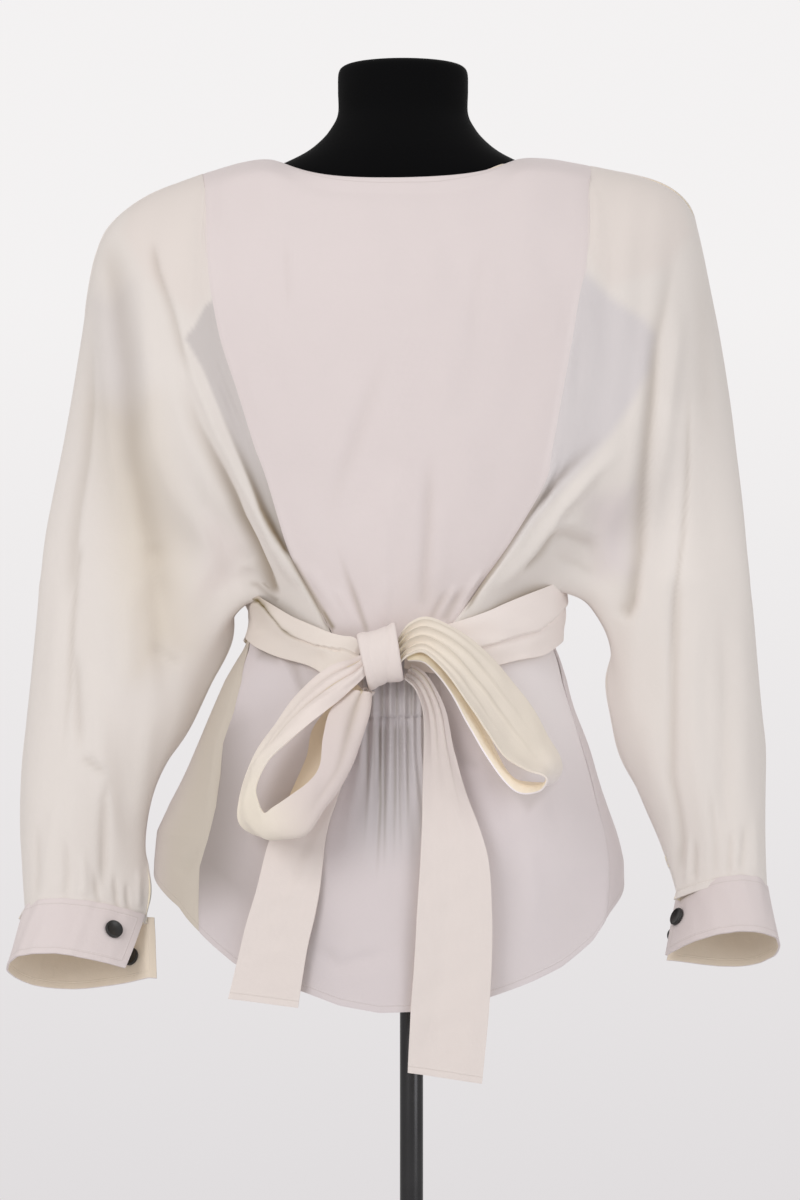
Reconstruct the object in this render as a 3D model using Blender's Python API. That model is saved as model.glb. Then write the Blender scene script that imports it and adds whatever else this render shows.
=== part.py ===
"""Blouse with a tied back sash on a limbless dress form with a stand.

Metres, Z up, X to the right as seen from the blouse's back, the back faces -Y.
The tables below are in millimetres in the same frame.
"""

import math

import bmesh
import bpy
import numpy as np
from mathutils import Matrix, Vector

# Driving sizes
MM = 0.001
CLOTH = 0.0012          # wall of the blouse cloth
SASH_CLOTH = 0.0014     # wall of the doubled sash strips
SEAM_GAP = 0.00018      # each piece stands this far from its seam line
OVERARM_GAP = 0.2       # each half of a sleeve stands this far from its overarm seam, mm
CENTRE_X = -0.0073      # middle line of the dress form
BUTTON_R = 0.00775
BUTTON_T = 0.003
CUFF_LEAN = 0.6         # slope of the cuff opening, rise per depth
POLE_R = 0.010
BASE_R = 0.165

CREAM = (0.78, 0.73, 0.66)
PALE = (0.72, 0.66, 0.62)
BLACK = (0.012, 0.012, 0.013)
STEEL = (0.16, 0.16, 0.17)

# fold edge x z, seam x z, bend x z, seam depth back front, body share, bulge, tube, middle y (mm)
SLEEVE_LEFT = [
    (-179.3, 1403.7, -175.3, 1386.7, -177.3, 1395.2, 40, 42, 1, 0, 0, 0),
    (-224.9, 1386.5, -172.9, 1343.1, -198.9, 1364.8, 66, 66, 1, 2, 0, 0),
    (-256.7, 1363.2, -170.6, 1310.2, -213.7, 1336.7, 76, 78, 1, 5, 0, 0),
    (-271.3, 1336.6, -166.2, 1282.2, -218.8, 1309.4, 80, 86, 1, 8, 0, 0),
    (-279.9, 1295.3, -159.5, 1251.3, -219.7, 1273.3, 80, 90, 1, 11, 0, 0),
    (-284.2, 1248, -146.2, 1211.2, -215.2, 1229.6, 80, 94, 1, 15, 0, 0),
    (-292, 1207.6, -132, 1166, -212, 1186.8, 80, 96, 1, 19, 0, 0),
    (-299.7, 1169.7, -121.9, 1138.5, -210.8, 1154.1, 80, 96, 0.95, 23, 0, 0),
    (-307.5, 1131.9, -102.7, 1077.4, -188.6, 1118.1, 80, 92, 0.8, 27, 0.1, 0),
    (-313.5, 1101.8, -81, 1037.3, -146.1, 1118.1, 80, 88, 0.62, 30, 0.25, 0),
    (-316.9, 1078.6, -65.1, 995.9, -130.7, 1118.1, 78.7, 84.8, 0.5, 32, 0.4, 0),
    (-318.6, 1061.4, -110.9, 1012.8, -133.3, 1105.4, 47.7, 51.4, 0.4, 34, 0.7, 0),
    (-320.4, 1049.3, -129.5, 1032.3, -141, 1096.9, 7.8, 8.5, 0.2, 35, 1, 0),
    (-321.2, 1037.3, -140.5, 1056, -230.9, 1046.7, 0.2, 0.2, 0.2, 36, 1, 0),
    (-322.1, 1021.8, -152.7, 1037.3, -237.4, 1029.6, 0.2, 0.2, 0.2, 38, 1, 0),
    (-324.4, 998.6, -154.3, 1002.9, -239.4, 1000.8, 0.2, 0.2, 0.2, 40, 1, -2),
    (-326.8, 968.6, -169.6, 966.9, -248.2, 967.7, 0.2, 0.2, 0.2, 40, 1, -4),
    (-329.9, 938.6, -184.9, 936.9, -257.4, 937.8, 0.2, 0.2, 0.2, 38, 1, -7),
    (-333.7, 900.2, -210.4, 897.7, -272, 898.9, 0.2, 0.2, 0.2, 36, 1, -11),
    (-334.8, 866.3, -230.4, 866.3, -282.6, 866.3, 0.2, 0.2, 0.2, 33, 1, -17),
    (-334.1, 836.8, -228.3, 834.3, -281.2, 835.5, 0.2, 0.2, 0.2, 31, 1, -23),
    (-331.8, 811.6, -223.6, 809.1, -277.7, 810.4, 0.2, 0.2, 0.2, 30, 1, -28),
    (-330.6, 792.3, -221.7, 788.9, -276.2, 790.6, 0.2, 0.2, 0.2, 29, 1, -31),
    (-328.7, 772.9, -225, 769.5, -276.8, 771.2, 0.2, 0.2, 0.2, 25, 1, -33),
]
# the same columns for the other sleeve
SLEEVE_RIGHT = [
    (153.5, 1410.5, 150.4, 1394.3, 151.9, 1402.4, 40, 42, 1, 0, 0, 0),
    (209.4, 1398.5, 149, 1355.1, 179.2, 1376.8, 64, 66, 1, 2, 0, 0),
    (237.8, 1378.7, 146.7, 1320.3, 192.2, 1349.5, 76, 78, 1, 5, 0, 0),
    (248.1, 1348.6, 140.6, 1291.4, 194.3, 1320, 80, 86, 1, 8, 0, 0),
    (255.8, 1310.8, 134.7, 1256.3, 195.3, 1283.6, 80, 90, 1, 11, 0, 0),
    (264.4, 1269.5, 126.4, 1211.2, 195.4, 1240.3, 80, 94, 1, 15, 0, 0),
    (273.9, 1211, 118, 1166, 196, 1188.5, 80, 96, 1, 19, 0, 0),
    (279.1, 1169.7, 111.3, 1135.1, 195.2, 1152.4, 80, 96, 0.95, 23, 0, 0),
    (284.2, 1126.7, 83.7, 1087.5, 168.8, 1118.1, 80, 92, 0.8, 27, 0.1, 0),
    (286.8, 1102.7, 52, 1042.3, 126.3, 1122.4, 80, 88, 0.62, 30, 0.25, 0),
    (288.5, 1082, 24.3, 994.2, 109.2, 1125, 87.7, 94.5, 0.5, 32, 0.4, 0),
    (291.1, 1058.8, 93.9, 1010.3, 111.8, 1118.1, 56.6, 61, 0.4, 34, 0.7, 0),
    (292, 1044.2, 122, 1043.9, 114.3, 1124.1, 0.2, 0.2, 0.2, 35, 1, 0),
    (293.7, 1032.1, 122.5, 1066.5, 194.3, 1062.8, 0.2, 0.2, 0.2, 36, 1, 0),
    (294.5, 1021.8, 149.2, 1046.8, 221.9, 1034.3, 0.2, 0.2, 0.2, 38, 1, 0),
    (295.4, 1009.8, 174.1, 1022.7, 234.8, 1016.2, 0.2, 0.2, 0.2, 40, 1, 0),
    (296.9, 990, 171.4, 996.1, 234.2, 993, 0.2, 0.2, 0.2, 40, 1, -2),
    (298.4, 965.2, 166.1, 967.7, 232.3, 966.5, 0.2, 0.2, 0.2, 40, 1, -4),
    (301.5, 936.1, 169.4, 937.8, 235.5, 936.9, 0.2, 0.2, 0.2, 38, 1, -7),
    (303.7, 910.5, 177.7, 904.5, 240.7, 907.5, 0.2, 0.2, 0.2, 36, 1, -11),
    (303.2, 879, 195.4, 868.8, 249.3, 873.9, 0.2, 0.2, 0.2, 33, 1, -15),
    (301.9, 849.4, 207.9, 842.5, 254.9, 845.9, 0.2, 0.2, 0.2, 31, 1, -19),
    (301.6, 823.9, 217.1, 819.7, 259.3, 821.8, 0.2, 0.2, 0.2, 30, 1, -22),
    (301.4, 806.2, 222, 802.8, 261.7, 804.5, 0.2, 0.2, 0.2, 29, 1, -24),
    (302.9, 791, 225.3, 788.5, 264.1, 789.7, 0.2, 0.2, 0.2, 25, 1, -26),
]
# back neck line and shoulder ridge: x z y (mm)
NECK_BACK = [
    (-179.3, 1403.7, 0),
    (-147.5, 1413.1, 0),
    (-120.7, 1417.3, -4),
    (-108.6, 1409.1, -31),
    (-94.3, 1400.3, -53),
    (-68.8, 1394.3, -63),
    (-38.4, 1391.8, -70),
    (-7.4, 1391.7, -71),
    (23.7, 1393, -70),
    (50.7, 1396.6, -62),
    (72.8, 1402.2, -54),
    (85.2, 1410.8, -37),
    (92.3, 1417.7, -4),
    (121.7, 1416.1, 0),
    (153.5, 1410.5, 0),
]
# front neck line and shoulder ridge: x z y (mm)
NECK_FRONT = [
    (-179.3, 1403.7, 0),
    (-147.5, 1413.1, 0),
    (-120.8, 1417.8, 4),
    (-110.5, 1405.4, 42),
    (-97.6, 1387.3, 60),
    (-71.8, 1368.4, 72),
    (-39.1, 1357.2, 82),
    (-7.3, 1354.6, 86),
    (24.5, 1357.2, 82),
    (53.7, 1368.4, 72),
    (77, 1387.3, 61),
    (87.3, 1405.4, 44),
    (92.4, 1418.3, 4),
    (121.7, 1416.1, 0),
    (153.5, 1410.5, 0),
]
# folds of the back: three points x z, half width, height out of the cloth (mm)
FOLDS_BACK = [
    (-202.9, 1272.2, -172.7, 1200.9, -113.9, 1058.3, 10.3, 5),
    (-211.3, 1251.2, -172.7, 1171.5, -125.7, 1058.3, 6.9, -4),
    (-150.9, 1074.2, -129, 1062.5, -108.9, 1037.3, 6, 4),
    (-100.5, 1075.1, -83.7, 1041.5, -63.6, 1003.7, 6.9, -4),
    (-50.2, 1045.7, -43.5, 1024.7, -36.7, 999.5, 6, -3),
    (-251.5, 1351.9, -240.6, 1297.4, -232.2, 1205.1, 8.6, -3),
    (-186.1, 1360.3, -202.9, 1331, -219.7, 1289, 10.3, 3),
    (219.1, 1335.1, 201.5, 1192.5, 188.1, 1037.3, 9.5, -4),
    (233.4, 1289, 221.7, 1188.3, 218.3, 1037.3, 8.6, 3),
    (199.9, 1217.7, 142, 1142.2, 69.8, 1060.8, 10.3, 5),
    (204, 1179.9, 157.9, 1121.2, 111.8, 1074.2, 6.9, -4),
    (74, 1070.9, 60.6, 1047.4, 42.1, 1020.5, 6.9, -4),
    (33.7, 1045.7, 23.7, 1032.3, 11.1, 1013.8, 6, -3),
    (157.9, 1104.4, 136.9, 1096, 112.6, 1079.3, 6.9, 4),
    (-285.1, 1087.6, -287.6, 987, -291.8, 903.1, 6.9, -3),
    (-283.4, 999.5, -268.3, 894.7, -258.2, 789.8, 6.9, -3),
    (-222.2, 999.5, -207.1, 991.2, -186.1, 980.2, 6.9, -3),
    (-246.5, 1070.9, -244.8, 970.2, -240.6, 794, 10.3, 3),
    (228.4, 1070.9, 217.5, 936.6, 224.2, 802.4, 7.7, -3),
    (193.1, 1079.3, 186.4, 1045.7, 178.9, 1016.3, 6, -3),
    (262.8, 1037.3, 265.3, 919.8, 260.3, 802.4, 10.3, 3),
    (241.8, 1003.7, 246.8, 903.1, 251.9, 795.7, 7.7, -3),
]
# folds of the front, same columns
FOLDS_FRONT = [
    (-199.1, 1295.3, -156.1, 1192.1, -95.9, 1037.3, 12, 5),
    (-224.9, 1269.5, -181.9, 1157.7, -128.6, 1054.5, 7.7, -4),
    (-70.1, 1312.5, -57.2, 1166.3, -40, 1037.3, 13.8, 3),
    (196.5, 1269.5, 153.5, 1174.9, 93.3, 1054.5, 12, 5),
    (213.7, 1226.5, 170.7, 1140.5, 117.4, 1071.7, 7.7, -4),
    (58.9, 1295.3, 50.3, 1166.3, 33.1, 1028.7, 12, 3),
    (-5.6, 1269.5, -6.5, 1149.1, -8.2, 1020.1, 8.6, -3),
    (-95.9, 1088.9, -78.7, 1045.9, -57.2, 1002.9, 6.9, -4),
    (76.1, 1088.9, 58.9, 1045.9, 43.4, 1011.5, 6.9, -4),
    (-286.8, 1071.7, -290.3, 968.5, -293.7, 796.5, 8.6, -3),
    (-250.7, 1037.3, -243.8, 916.9, -242.1, 787.9, 10.3, 3),
    (239.5, 1054.5, 234.3, 934.1, 239.5, 796.5, 8.6, -3),
    (273.9, 1037.3, 278.2, 916.9, 275.6, 796.5, 10.3, 3),
    (-257.6, 1346.9, -249, 1295.3, -242.1, 1192.1, 8.6, -3),
    (239.5, 1346.9, 230.9, 1269.5, 222.3, 1166.3, 8.6, -3),
]
# skirt rows: height, middle x, half width, depth back front (mm), side seam angles left right
SKIRT = [
    (1037.3, -3.9, 123, 87, 94, -87.4, 87.4),
    (1011.5, -9.9, 127.3, 89, 96, -87.4, 87.4),
    (994.3, -10.3, 133.7, 93, 98, -76.4, 87.4),
    (968.5, -12.9, 146.6, 98, 101, -63.8, 76.3),
    (942.7, -15.5, 156.1, 102, 104, -59.6, 75.9),
    (916.9, -17.6, 166, 107, 107, -58.4, 75.5),
    (891.1, -19.8, 175.9, 112, 110, -53, 75.1),
    (865.3, -21.9, 186.6, 117, 113, -49.3, 72.6),
    (839.5, -23.2, 195.6, 121, 116, -48.3, 71.5),
    (813.7, -21.1, 200.4, 125, 118, -50.8, 68.8),
    (779.3, -20.2, 203, 129, 120, -50.6, 66.1),
    (736.3, -21.9, 208.1, 133, 123, -48.3, 61.9),
    (676.1, -21.1, 210.7, 137, 126, -48.2, 58.1),
]
# hem: angle round the body, height (mm)
HEM = [
    (-82, 802.2),
    (-58.8, 779.5),
    (-46.7, 755),
    (-37, 735.9),
    (-27.1, 722.5),
    (-18.7, 714.4),
    (-10.4, 704.5),
    (-1.4, 699),
    (5.3, 699.8),
    (14.4, 704.2),
    (24.5, 710.6),
    (34.7, 720.7),
    (45.6, 732),
    (58.3, 751.2),
    (67.1, 772.9),
    (83.1, 793.5),
]
# near edge x y z, far edge x y z (mm)
LOOP_LEFT = [
    (-37, -129.3, 977.4, -37.1, -122, 994.5),
    (-45.2, -131.6, 968.4, -46.2, -118, 989.5),
    (-68.6, -148, 948.4, -66.8, -118, 982.1),
    (-86.3, -158, 934.1, -91.6, -117, 961.4),
    (-104, -163, 918.9, -113.8, -117, 931.7),
    (-117.7, -166, 905.2, -131.9, -118, 903.7),
    (-125.7, -168, 886.7, -141.7, -120, 872.5),
    (-126.4, -169, 872.2, -141.6, -122, 853.7),
    (-119.1, -170, 856.1, -128.4, -124, 844.8),
    (-107.8, -170, 846.4, -115.2, -125, 844.8),
    (-88.4, -169, 849.5, -108.6, -125, 859.6),
    (-73.1, -166, 870.4, -100.4, -124, 877.7),
    (-54.6, -158, 899.2, -87.3, -121, 907.2),
    (-45.8, -148, 921.5, -78.3, -118, 930.9),
    (-38.6, -138, 944, -66.9, -115, 950.6),
    (-37.8, -128, 960.1, -45.4, -113, 967.9),
]
# the same columns
LOOP_RIGHT = [
    (-12.4, -131, 984.8, -12.4, -122, 1004.4),
    (-3.3, -132, 992.2, -2.5, -122, 1018.4),
    (10.6, -140, 994.8, 14.8, -121, 1023.3),
    (28.4, -152, 978.7, 42.1, -118, 1010.1),
    (44.5, -160, 956.1, 64.4, -114, 991.9),
    (60.6, -166, 932, 83.4, -113, 969.6),
    (75.9, -170, 910.3, 100.8, -113, 947.3),
    (92, -172, 900.7, 113.1, -114, 924.2),
    (105.7, -173, 896.7, 123, -115, 906.9),
    (109.7, -173, 891, 123.8, -116, 894.5),
    (103.3, -172, 882.1, 115.5, -116, 886.3),
    (87.1, -172, 880.5, 97.4, -116, 886.3),
    (75, -171, 889.3, 82.5, -116, 890.4),
    (59.7, -168, 910.2, 70.1, -116, 908.6),
    (43.7, -162, 938.3, 56.2, -114, 939.9),
    (28.4, -152, 965.6, 38, -112, 967.9),
    (11.4, -140, 984.9, 19.9, -112, 989.4),
    (-3.3, -128, 987.2, -1.6, -110, 997.6),
]
# left edge x y z, right edge x y z (mm)
TAIL_RIGHT = [
    (-5.8, -118, 973, 0, -112, 984.4),
    (4.1, -116, 963, 13.2, -113, 974.5),
    (9.9, -115, 941.5, 27.3, -114, 948.1),
    (9.9, -116, 911.9, 34.7, -116, 913.5),
    (9, -121, 880.8, 44.5, -121, 879.1),
    (8.2, -130, 848.5, 56.6, -129, 846.8),
    (6.5, -136, 817.8, 63.1, -134, 820.9),
    (4, -141, 779.7, 65.4, -138, 783.5),
    (2.4, -144, 749, 65.4, -140, 746.9),
    (-0.9, -146, 702.7, 62.8, -143, 700.7),
    (-3.4, -147, 651.4, 57.1, -145, 642.1),
]
# the same columns
TAIL_LEFT = [
    (-40.5, -114, 964.1, -30.5, -114, 960.7),
    (-51.3, -107, 946.2, -38, -108, 947.9),
    (-67.9, -107, 913.1, -48, -109, 914.9),
    (-86, -109, 890, -54.5, -112, 895.2),
    (-102.5, -112, 867.1, -62.7, -117, 870.7),
    (-117.3, -114, 840.8, -70.9, -121, 842.9),
    (-128.7, -117, 797.3, -75.7, -127, 802.2),
    (-136.9, -118, 770.1, -80.5, -129, 776.1),
    (-142.6, -119, 746.3, -86.2, -131, 750.9),
    (-151.6, -121, 708.6, -93.6, -133, 702.7),
]
# sash round the waist: angle, top, bottom, lift towards the knot (mm)
SASH = [
    (-15.2, 1006.5, 972.4, 14),
    (-22, 1008.1, 974.8, 7),
    (-31, 1012.2, 983, 1),
    (-45, 1022.2, 989.4, 0),
    (-60, 1034.8, 996.7, 0),
    (-75, 1044.1, 1003.2, 0),
    (-90, 1047.6, 1006.3, 0),
    (-120, 1040, 994, 0),
    (-150, 1030, 984, 0),
    (-180, 1026, 981, 0),
    (-210, 1030, 984, 0),
    (-240, 1043, 994, 0),
    (-270, 1054.5, 1002.9, 0),
    (-285, 1053.5, 998.9, 0),
    (-300, 1047.4, 990.8, 0),
    (-315, 1039, 986.9, 0),
    (-330, 1027.3, 980.5, 0),
    (-342, 1019, 975.7, 0),
    (-351, 1014, 977.4, 3),
    (-358, 1009, 980.8, 7.4),
]

# dress form: height, half width, depth to the back, depth to the front (mm)
FORM = [
    (1497, 42, 40, 40), (1495.5, 51, 48, 48), (1490, 55.5, 53, 53), (1475, 56, 53, 53),
    (1455, 56, 53, 53), (1441.5, 62.5, 57, 55), (1431, 71.5, 60, 57), (1421, 84.5, 62, 58),
    (1411, 105, 62, 59), (1400, 132, 62, 61), (1386, 161, 63, 64), (1372, 180, 65, 69),
    (1355, 189, 69, 77), (1332, 188, 76, 89), (1300, 180, 84, 101), (1262, 166, 90, 111),
    (1220, 151, 90, 113), (1170, 139, 87, 105), (1110, 125, 83, 95), (1055, 116, 80, 89),
    (1015, 114, 79, 86), (975, 118, 85, 89), (925, 135, 96, 95), (870, 153, 106, 101),
    (820, 162, 110, 103), (785, 162, 110, 102), (767, 157, 106, 98), (760, 140, 96, 88),
]
# waist seam: angle round the body, height (mm)
WAIST = [
    (-180, 992), (-150, 996), (-120, 1014), (-90, 1036), (-60, 1014), (-30, 996), (0, 992),
    (30, 993), (60, 1011), (90, 1044), (120, 1011), (150, 993), (180, 992),
]
WAIST_X, WAIST_HALF, WAIST_BACK, WAIST_FRONT = -4.0, 126.0, 90.0, 97.0
# middle depth of the upper back and front, one value per sleeve row 0 to 10 (mm)
BACK_MIDDLE = [76, 92, 99, 102, 103, 102, 100, 98, 95, 92, 91]
FRONT_MIDDLE = [92, 108, 116, 121, 124, 123, 118, 112, 104, 99, 98]
# how much of the neck line's curve each row keeps, rows 0 to 10
BACK_DIP = [0.92, 0.5, 0.25, 0.1, 0, 0, 0, 0, 0, 0, 0]
FRONT_DIP = [0.93, 0.72, 0.52, 0.33, 0.18, 0.08, 0, 0, 0, 0, 0]
SEAM_TURN = 0.1         # half the gap at the skirt's side seams (degrees)
# gathers under the knot: x at the waist (mm), height of the pleat (mm)
PLEATS = [(-41, 4.0), (-32, 3.2), (-23, 4.4), (-14, 3.4), (-5, 4.2), (4, 3.3), (12, 3.8)]


def spline(rows, t):
    """Smooth curve through equally spaced rows, t from 0 to 1."""
    n = len(rows) - 1
    s = min(max(t, 0.0), 1.0) * n
    i = min(int(s), n - 1)
    f = s - i
    p0, p1, p2, p3 = rows[max(i - 1, 0)], rows[i], rows[i + 1], rows[min(i + 2, n)]
    return 0.5 * (2 * p1 + (p2 - p0) * f + (2 * p0 - 5 * p1 + 4 * p2 - p3) * f * f
                  + (3 * p1 - p0 - 3 * p2 + p3) * f ** 3)


def lookup(rows, key):
    """Row of a table at a value of its first column, rising or falling."""
    rows = np.array(rows, float)
    if rows[0, 0] > rows[-1, 0]:
        rows = rows[::-1]
    return np.array([np.interp(key, rows[:, 0], rows[:, c]) for c in range(1, rows.shape[1])])


def ease(x):
    x = min(max(x, 0.0), 1.0)
    return x * x * (3 - 2 * x)


def folds(table, x, z):
    """Height of the folds of a table at a place in the cloth (mm)."""
    total = 0.0
    p = np.array((x, z))
    for x0, z0, x1, z1, x2, z2, half, height in table:
        pts = [np.array((x0, z0)), np.array((x1, z1)), np.array((x2, z2))]
        best, along = 1e9, 0.0
        for k in (0, 1):
            d = pts[k + 1] - pts[k]
            t = min(max(np.dot(p - pts[k], d) / np.dot(d, d), 0.0), 1.0)
            dist = np.linalg.norm(p - pts[k] - t * d)
            if dist < best:
                best, along = dist, (k + t) / 2
        if best < 3 * half:
            ends = min(1.0, 4 * along + 0.15, 4 * (1 - along) + 0.15)
            total += height * ends * math.exp(-(best / half) ** 2)
    return total


def material(name, color, roughness, metallic=0.0):
    mat = bpy.data.materials.new(name)
    mat.use_nodes = True
    bsdf = mat.node_tree.nodes["Principled BSDF"]
    bsdf.inputs["Base Color"].default_value = (*color, 1.0)
    bsdf.inputs["Roughness"].default_value = roughness
    bsdf.inputs["Metallic"].default_value = metallic
    return mat


def finish(bm, name, color, roughness=0.8, metallic=0.0, smooth=True):
    """Turn the faces outward and add the mesh to the blouse's collection."""
    bmesh.ops.recalc_face_normals(bm, faces=bm.faces[:])
    if bm.calc_volume(signed=True) < 0:
        bmesh.ops.reverse_faces(bm, faces=bm.faces[:])
    mesh = bpy.data.meshes.new(name)
    bm.to_mesh(mesh)
    bm.free()
    if smooth:
        mesh.polygons.foreach_set("use_smooth", [True] * len(mesh.polygons))
    obj = bpy.data.objects.new(name, mesh)
    obj.data.materials.append(material(name + "_look", color, roughness, metallic))
    parts.objects.link(obj)
    return obj


def wall(name, point, us, vs, thick, color, rim=None, inward=1.0):
    """Cloth wall: a grid laid on point(u, v) and thickened towards its inner side."""
    nu, nv = len(us) - 1, len(vs) - 1
    grid = np.array([[point(u, v) for u in us] for v in vs]) * MM
    du, dv = np.gradient(grid, axis=1), np.gradient(grid, axis=0)
    normal = np.cross(du, dv)
    normal /= np.linalg.norm(normal, axis=2, keepdims=True) + 1e-12
    inner = grid + inward * thick * normal
    if rim is not None:
        for j in range(nv + 1):
            for i in range(nu + 1):
                if i in (0, nu) or j in (0, nv):
                    way = rim(grid[j, i] / MM, us[i], vs[j])
                    if way is not None:
                        inner[j, i] = grid[j, i] + thick * np.array(way) / np.linalg.norm(way)
    bm = bmesh.new()
    bmesh.ops.create_grid(bm, x_segments=nu, y_segments=nv, size=0.5)
    col = bm.verts.layers.int.new("col")
    row = bm.verts.layers.int.new("row")
    for v in bm.verts:
        v[col] = round((v.co.x + 0.5) * nu)
        v[row] = round((v.co.y + 0.5) * nv)
    outer = set(bm.verts)
    bmesh.ops.solidify(bm, geom=bm.faces[:], thickness=thick)
    for v in bm.verts:
        v.co = grid[v[row], v[col]] if v in outer else inner[v[row], v[col]]
    return finish(bm, name, color)


def ring(name, point, nu, nv, color, roughness=0.8):
    """Closed band: point(u, v) runs round in both directions."""
    bm = bmesh.new()
    bmesh.ops.create_grid(bm, x_segments=nu, y_segments=nv, size=0.5)
    for v in bm.verts:
        v.co = Vector(point((v.co.x + 0.5) % 1.0, (v.co.y + 0.5) % 1.0)) * MM
    bmesh.ops.remove_doubles(bm, verts=bm.verts[:], dist=1e-5)
    return finish(bm, name, color, roughness)


def ball(name, place, nu, nv, color, roughness=0.7):
    """Closed body: a sphere whose points go through place(x, y, z)."""
    bm = bmesh.new()
    bmesh.ops.create_uvsphere(bm, u_segments=nu, v_segments=nv, radius=1.0)
    for v in bm.verts:
        v.co = Vector(place(*v.co)) * MM
    return finish(bm, name, color, roughness)


def lathe(name, profile, steps, color, roughness, metallic, x=0.0):
    """Turned body from a profile of radius and height, both in metres."""
    bm = bmesh.new()
    verts = [bm.verts.new((r, 0, z)) for r, z in profile]
    edges = [bm.edges.new(pair) for pair in zip(verts, verts[1:])]
    bmesh.ops.spin(bm, geom=verts + edges, cent=(0, 0, 0), axis=(0, 0, 1),
                   angle=2 * math.pi, steps=steps, use_merge=True)
    bmesh.ops.remove_doubles(bm, verts=bm.verts[:], dist=1e-5)
    bmesh.ops.translate(bm, verts=bm.verts[:], vec=(x, 0, 0))
    return finish(bm, name, color, roughness, metallic)


def into_body(p):
    """Direction from a place on the blouse's body towards its inside."""
    x, y, z = p
    wide = 250.0 if z > 1120 else WAIST_HALF + (250 - WAIST_HALF) * ease((z - 1040) / 80)
    rise = max(0.0, z - 1260) / 150 ** 2
    return (-(x - CENTRE_X / MM) / wide ** 2, -y / 95 ** 2, -rise)


def waist_depth(x, back=True):
    k = 1 - ((x - WAIST_X) / WAIST_HALF) ** 2
    return (WAIST_BACK if back else WAIST_FRONT) * math.sqrt(max(k, 0.0))


def sash_top(x, back=True):
    """Height of the sash's upper edge at a place on the body (mm)."""
    s = min(max((x - WAIST_X) / WAIST_HALF, -1), 1)
    phi = math.degrees(math.asin(s))
    if not back:
        phi = math.copysign(180 - abs(phi), phi)
    return float(lookup(SASH_ROUND, phi)[0])


def pinch(x, z, back):
    """Largest depth the sash leaves the cloth at a place near the waist (mm)."""
    beyond = max(0.0, abs(x - WAIST_X) - WAIST_HALF)
    return waist_depth(x, back) + 0.4 + 0.8 * max(0.0, z - sash_top(x, back)) + 0.9 * beyond


# Sleeves
def sleeve_point(table, side, back, u, v):
    """Sleeve surface: u from the back seam over the fold edge to the front seam."""
    rows = np.array(table, float)
    n = len(rows) - 1
    r = v * n
    sx, sz, bx, bz, cx, cz, db, df, share, bulge, tube, mid = spline(rows, v)
    tube = min(max(tube, 0.0), 1.0)
    theta = math.pi * (2 * u if back else 2 - 2 * u)
    a = math.sin(theta / 2) ** (1 + tube)
    x = (1 - a) ** 2 * bx + 2 * a * (1 - a) * cx + a * a * sx
    z = (1 - a) ** 2 * bz + 2 * a * (1 - a) * cz + a * a * sz
    depth = db if back else df
    if 10 <= r <= 12:
        depth = max(waist_depth(bx, back), 0.2)
    share = min(max(share, 0.15), 1.0)
    k = min(a / share, 1.0)
    round_k = math.sqrt(max(1 - k * k, 0.0))
    flat = 0.45 * ease((share - 0.6) / 0.4)
    body = depth * (flat * (1 - k) + (1 - flat) * round_k)
    q = 1 - 0.5 * tube * (1 - ease((r - (n - 5)) / 5))
    top = (q / (q + 0.5)) ** q * math.sqrt(0.5 / (q + 0.5))
    swell = bulge * a ** q * math.sqrt(max(1 - a, 0.0)) / top
    y = body + swell
    near = (1 - a ** 3)
    y += folds(FOLDS_BACK if back else FOLDS_FRONT, x, z) * near
    if r < 13.6:
        limit = pinch(x, z, back)
        y = min(y, max(limit, 0.2))
    y = max(y, 0.2 if tube > 0.9 else 0.0)
    if u == 0.5:
        y = OVERARM_GAP
    y = mid + (-y if back else y)
    lean = CUFF_LEAN * ease((r - (n - 6)) / 5.5)
    z -= lean * (y - mid)
    # step off the seam line
    if r <= 11.5 and (u < 1e-6 or u > 1 - 1e-6):
        x += side * SEAM_GAP / MM * 1.2
    if r < 1e-6:
        x += side * SEAM_GAP / MM * 1.2
    return (x, y, z)


def sleeve(name, table, side):
    n = len(table) - 1
    vs = [k / n for k in range(0, 4)] + [k / 2 / n for k in range(8, 26)] + \
         [k / n for k in range(13, n + 1)]

    def rim(p, u, v):
        r = v * n
        edge = spline(np.array(table, float), v)
        way = np.array((edge[0] - edge[2], 0.0, edge[1] - edge[3]))
        if u == 0.5:
            return -way
        if r <= 11.5:
            return into_body(p)
        if u in (0.0, 1.0):
            return way
        return None

    for half, low in (("back", 0), ("front", 8)):
        us = [k / 16 for k in range(low, low + 9)]
        wall(f"{name}_{half}", lambda u, v: sleeve_point(table, side, half == "back", u, v), us, vs,
             CLOTH, CREAM, rim, inward=side)


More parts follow.
